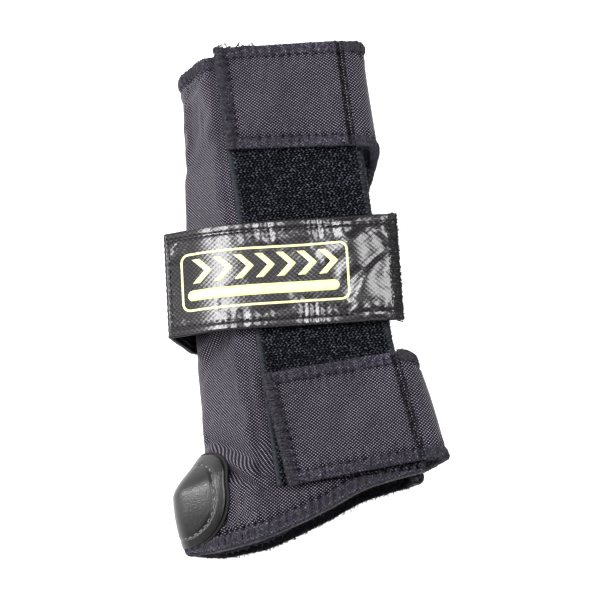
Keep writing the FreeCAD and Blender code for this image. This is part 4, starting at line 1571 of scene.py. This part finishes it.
def elastic_end():
    """The elastic's upper end, sewn flat to the underside of the strap."""
    u = np.linspace(STRAP_LENGTH - 1.2, STRAP_LENGTH - 10.0, 14)
    low_path = strap_path - strap_normal * 2.75
    under = np.stack([np.interp(u, strap_length, low_path[:, k]) for k in (0, 1)], axis=1)
    turn = bezier([(-49.4, 36.2), (-49.9, 39.2), (-49.6, 39.4), tuple(under[0])], 10)
    path = np.concatenate([turn, under[1:]])
    elastic_band("elastic_end", path, 1.1, STRAP_W / 2 - 0.8, STRAP_BLEND, ())


elastic_root()
elastic_end()


def box_stitch():
    """Box and cross that hold the elastic to the palm side."""
    x0, x1, half = -9.0, 22.0, 16.0
    box_and_slash = [(x0, -half), (x1, -half), (x1, half), (x0, half), (x0, -half), (x1, half)]
    runs = []
    for corners in (box_and_slash, [(x0, half), (x1, -half)]):
        line = resample(np.array(corners), 1.0)
        points = askew(np.stack([line[:, 0], line[:, 1], np.full(len(line), 0.12)], axis=-1))
        runs.append((points, np.tile([0, 0, -1.0], (len(points), 1)), 2.4, {}))
    sew("anchor_stitches", runs, SEAM, "root", "elastic", thread=0.2, gap=0.25, lift=0.05)


box_stitch()


# ---- heel patch ---------------------------------------------------------------------------
PATCH_MIDDLE = np.array([2.5, -71.4])
PATCH_FRONT, PATCH_BACK, PATCH_UP, PATCH_DOWN = 24.8, 20.5, 18.0, 18.9
PATCH_POINTS, PATCH_ROUND = 130, 0.94


def patch_outline():
    """Rounded outline of the patch: distance round the sleeve from the side fold, and Y."""
    a = np.linspace(0, 2 * math.pi, PATCH_POINTS, endpoint=False)
    c, s = np.cos(a), np.sin(a)
    across = np.where(c > 0, PATCH_FRONT, PATCH_BACK) * np.sign(c) * np.abs(c) ** PATCH_ROUND
    up = np.where(s > 0, PATCH_UP, PATCH_DOWN) * np.sign(s) * np.abs(s) ** PATCH_ROUND
    return np.stack([PATCH_MIDDLE[0] + across, PATCH_MIDDLE[1] + up], axis=1)


patch_edge = patch_outline()


def patch_surface(scale, height):
    """Ring of the patch at a share of its size; it turns the other way round the sleeve."""
    ring = PATCH_MIDDLE + (patch_edge - PATCH_MIDDLE) * scale
    return sleeve_at(-ring[:, 0], ring[:, 1], height)


def patch_layer(name, size, low, profile, material, node):
    """Leather layer from its rim at the bottom, up its cut edge and over its face."""
    rings, uvs = [], []
    for share, height in profile:
        points, _ = patch_surface(size * share, height)
        rings.append(points)
        uvs.append((patch_edge - PATCH_MIDDLE) * size * share)
    top_middle, _ = sleeve_at(-PATCH_MIDDLE[0], PATCH_MIDDLE[1], profile[-1][1])
    low_middle, _ = sleeve_at(-PATCH_MIDDLE[0], PATCH_MIDDLE[1], low)
    n = len(patch_edge)
    grid = np.concatenate([np.concatenate(rings), top_middle.reshape(1, 3), low_middle.reshape(1, 3)])
    uv = np.concatenate([np.concatenate(uvs), [[0, 0], [0, 0]]])
    faces = ring_faces(len(rings), n)
    last = (len(rings) - 1) * n
    for k in range(n):
        q = (k + 1) % n
        faces.append((last + k, len(grid) - 2, last + q))
        faces.append((q, len(grid) - 1, k))
    finish_piece(new_object(name, grid, faces, material, uv), "root", "leather", node)


def dome(rim_height, top_height, groove_at=None):
    """Profile of a layer from its rim inward: (share of its size, height)."""
    rim_steps = ((1.0, -0.9), (1.006, -0.45), (1.0, -0.12), (0.985, 0.0))
    profile = [(share, rim_height + drop) for share, drop in rim_steps]
    for share in np.linspace(0.96, 0.02, 34):
        rise = rim_height + (top_height - rim_height) * (1 - share ** 2.2)
        if groove_at:
            rise -= 0.42 * math.exp(-(((share - groove_at) / 0.022) ** 2))
        profile.append((share, rise))
    return profile


LEATHER_SIZE, GROOVE_AT = 0.95, 0.8
patch_layer("heel_patch_backing", 1.0, 0.1, dome(1.3, 1.35), LEATHER_EDGE, "heel_patch_underlay")
patch_layer("heel_patch_leather", LEATHER_SIZE, 1.2, dome(2.1, 4.3, GROOVE_AT), LEATHER, "heel_patch")


def patch_stitches():
    """Pale stitches in the patch's groove, with three loose ends."""
    points, normals = patch_surface(LEATHER_SIZE * GROOVE_AT, 2.45)
    points = np.concatenate([points, points[:1]])
    normals = np.concatenate([normals, normals[:1]])
    paths, radii = stitch_row(points, normals, 3.0, 0.3, gap=0.26, lift=0.3)
    t = np.linspace(0, 1, 5)[:, None]
    for k, along in ((4, (-1.6, 0.5, 0.3)), (58, (-1.3, -0.8, 0.3)), (6, (-0.9, -1.2, 0.3))):
        paths.append(points[k] + np.array(along) * t + np.array([0.2, -0.6, 0.1]) * t * t)
        radii.append(np.linspace(0.16, 0.08, 5))
    finish_piece(tubes("heel_patch_stitches", paths, radii, PALE_SEAM), "root", "leather")


patch_stitches()


# ---- hem stitching and fuzz on the sleeve -------------------------------------------------
def hem_stitches():
    """Stitches along the inner side of both end hems."""
    runs = []
    columns = np.arange(COLUMNS)
    for edge, distance, pitch, slant in ((0, 6.2, 2.6, 0.2), (-1, 5.0, 2.4, -0.2)):
        away = np.abs(base[..., 1] - base[edge, :, 1])
        rows = np.argmin(np.abs(away - distance), axis=0)
        normals = outward[rows, columns]
        runs.append((outer_face[rows, columns] + normals * 0.1, normals, pitch, {"slant": slant}))
    sew("hem_stitches", runs, SEAM, "root", "edge_thread", thread=0.22, gap=0.25)


def fuzz(name, origins, directions, count, length, material, body, slot, radius=0.07, curl=0.9):
    """Small curled fibres that stand off an edge."""
    paths, radii = [], []
    for _ in range(count):
        k = rng.integers(len(origins))
        j = min(k + 1, len(origins) - 1)
        f = rng.random()
        start = origins[k] * (1 - f) + origins[j] * f
        heading = directions[k] + rng.normal(0, 0.55, 3)
        size = length * (0.5 + rng.random())
        t = np.linspace(0, 1, 6)[:, None]
        bend = rng.normal(0, curl, 3)
        swing = rng.normal(0, curl * 0.5, 3)
        paths.append(start + (heading * t + bend * t ** 2 + swing * np.sin(t * math.pi)) * size)
        radii.append(np.full(6, radius))
    finish_piece(tubes(name, paths, radii, material, sides=4), body, slot)


def sleeve_fuzz():
    """Curls of terry in the hand end, and stray fibres at the forearm end."""
    _, bottom, out = rim(0, (0, -1, 0))
    inner = slice(80, None)
    fuzz("hand_rim_fuzz", bottom[inner], out[inner] * 0.6 - outward[0][inner] * 0.5, count=3600,
         length=0.42, material=OVERLOCK, body="root", slot="terry_lining", radius=0.15, curl=1.0)
    top, _, out = rim(-1, (0, 1, 0))
    front = slice(0, 150)
    fuzz("forearm_rim_fuzz", top[front], out[front] * 0.6, count=70, length=0.6, material=OVERLOCK,
         body="root", slot="edge_thread")


def flap_fuzz():
    """Stray fibres at the upper flap's free corner."""
    x = np.linspace(UPPER_FLAP[0][0] + 0.2, -5, 16)
    y = np.interp(x, (UPPER_FLAP[0][0], UPPER_FLAP[1][0]), (103.3, 100.4))
    corner = np.stack([x, y, np.full_like(x, 49.9)], axis=1)
    fuzz("flap_corner_fuzz", corner, np.tile([0, 0.7, 0.1], (len(x), 1)), count=90, length=0.75,
         material=OVERLOCK, body="upper_flap", slot="edge_thread", radius=0.14, curl=1.3)


def tape_fuzz():
    """Loops that stand out past the tape's thumb-side selvage."""
    edge = np.array([(edge_x(LOOP_RIGHT, y) - 0.3, y, 47.2) for y in np.linspace(-22, 56, 60)])
    fuzz("tape_edge_fuzz", edge, np.tile([1.0, 0, 0.3], (len(edge), 1)), count=170, length=0.9,
         material=PILE, body="root", slot="loop_tape")


hem_stitches()
sleeve_fuzz()
flap_fuzz()
tape_fuzz()

def colour_splints():
    """The two hidden stays stay as CAD solids and only get a material."""
    for node in ("dorsal_splint", "palm_splint"):
        for material_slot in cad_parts[node].material_slots:
            material_slot.material = SPLINT


colour_splints()


# ---- floor, light and camera --------------------------------------------------------------
SOFTBOXES = (                                # place and size in metres, power
    ((-0.66, 0.2, 1.22), (1.1, 0.42), 24.0),
    ((0.55, 0.25, 1.25), (0.8, 0.5), 13.0),
    ((0.1, -1.1, 0.9), (0.7, 0.7), 2.0),
    ((-1.15, 0.22, 0.32), (0.2, 0.2), 5.0),
)
FLOOR_HALF = 30
SHOT_FROM = (math.radians(-7.0), math.radians(78.0), 0.9)        # azimuth, elevation, distance
SHOT_AT = (1.1, -1.3, 47.0)
LENS = 138.8


def pale_floor():
    mesh = bpy.data.meshes.new("floor")
    corners = [(x * FLOOR_HALF, y * FLOOR_HALF, 0) for x, y in ((-1, -1), (1, -1), (1, 1), (-1, 1))]
    mesh.from_pydata(corners, [], [(0, 1, 2, 3)])
    floor = bpy.data.objects.new("floor", mesh)
    bpy.context.scene.collection.objects.link(floor)
    pale = Shader("pale_floor", 0.9, Specular_IOR_Level=0.0)
    pale.paint(pale.noise(3.0, 2.0), (0.3, (0.58, 0.58, 0.58)), (0.7, (0.6, 0.6, 0.6)))
    pale.surface.inputs["Emission Color"].default_value = (1, 1, 1, 1)
    pale.surface.inputs["Emission Strength"].default_value = 0.7
    mesh.materials.append(pale.material)


def sky():
    """Bright horizon, dimmer overhead."""
    world = bpy.data.worlds.new("studio")
    world.use_nodes = True
    nodes, links = world.node_tree.nodes, world.node_tree.links
    split = nodes.new("ShaderNodeSeparateXYZ")
    links.new(nodes.new("ShaderNodeTexCoord").outputs["Generated"], split.inputs[0])
    ramp = nodes.new("ShaderNodeValToRGB")
    shades = ((0.25, (0.94, 0.94, 0.94, 1)), (0.5, (0.14, 0.14, 0.145, 1)))
    for element, (position, colour) in zip(ramp.color_ramp.elements, shades):
        element.position = position
        element.color = colour
    links.new(split.outputs[2], ramp.inputs[0])
    links.new(ramp.outputs[0], nodes["Background"].inputs[0])
    bpy.context.scene.world = world


def softboxes():
    for location, (length, width), power in SOFTBOXES:
        light = bpy.data.lights.new("softbox", "AREA")
        light.shape = "RECTANGLE"
        light.size = length
        light.size_y = width
        light.energy = power
        lamp = bpy.data.objects.new("softbox", light)
        lamp.location = location
        lamp.rotation_euler = (-Vector(location)).to_track_quat("-Z", "Y").to_euler()
        bpy.context.scene.collection.objects.link(lamp)


def camera():
    azimuth, elevation, distance = SHOT_FROM
    level = math.cos(elevation)
    away = Vector((math.sin(azimuth) * level, -math.cos(azimuth) * level, math.sin(elevation)))
    data = bpy.data.cameras.new("camera")
    data.lens = LENS
    obj = bpy.data.objects.new("camera", data)
    obj.location = Vector(place(SHOT_AT)) + away * distance
    obj.rotation_euler = (-away).to_track_quat("-Z", "Y").to_euler()
    bpy.context.scene.collection.objects.link(obj)
    bpy.context.scene.camera = obj


pale_floor()
sky()
softboxes()
camera()
bpy.context.scene.view_settings.view_transform = "Standard"
bpy.context.scene.view_settings.look = "Medium High Contrast"
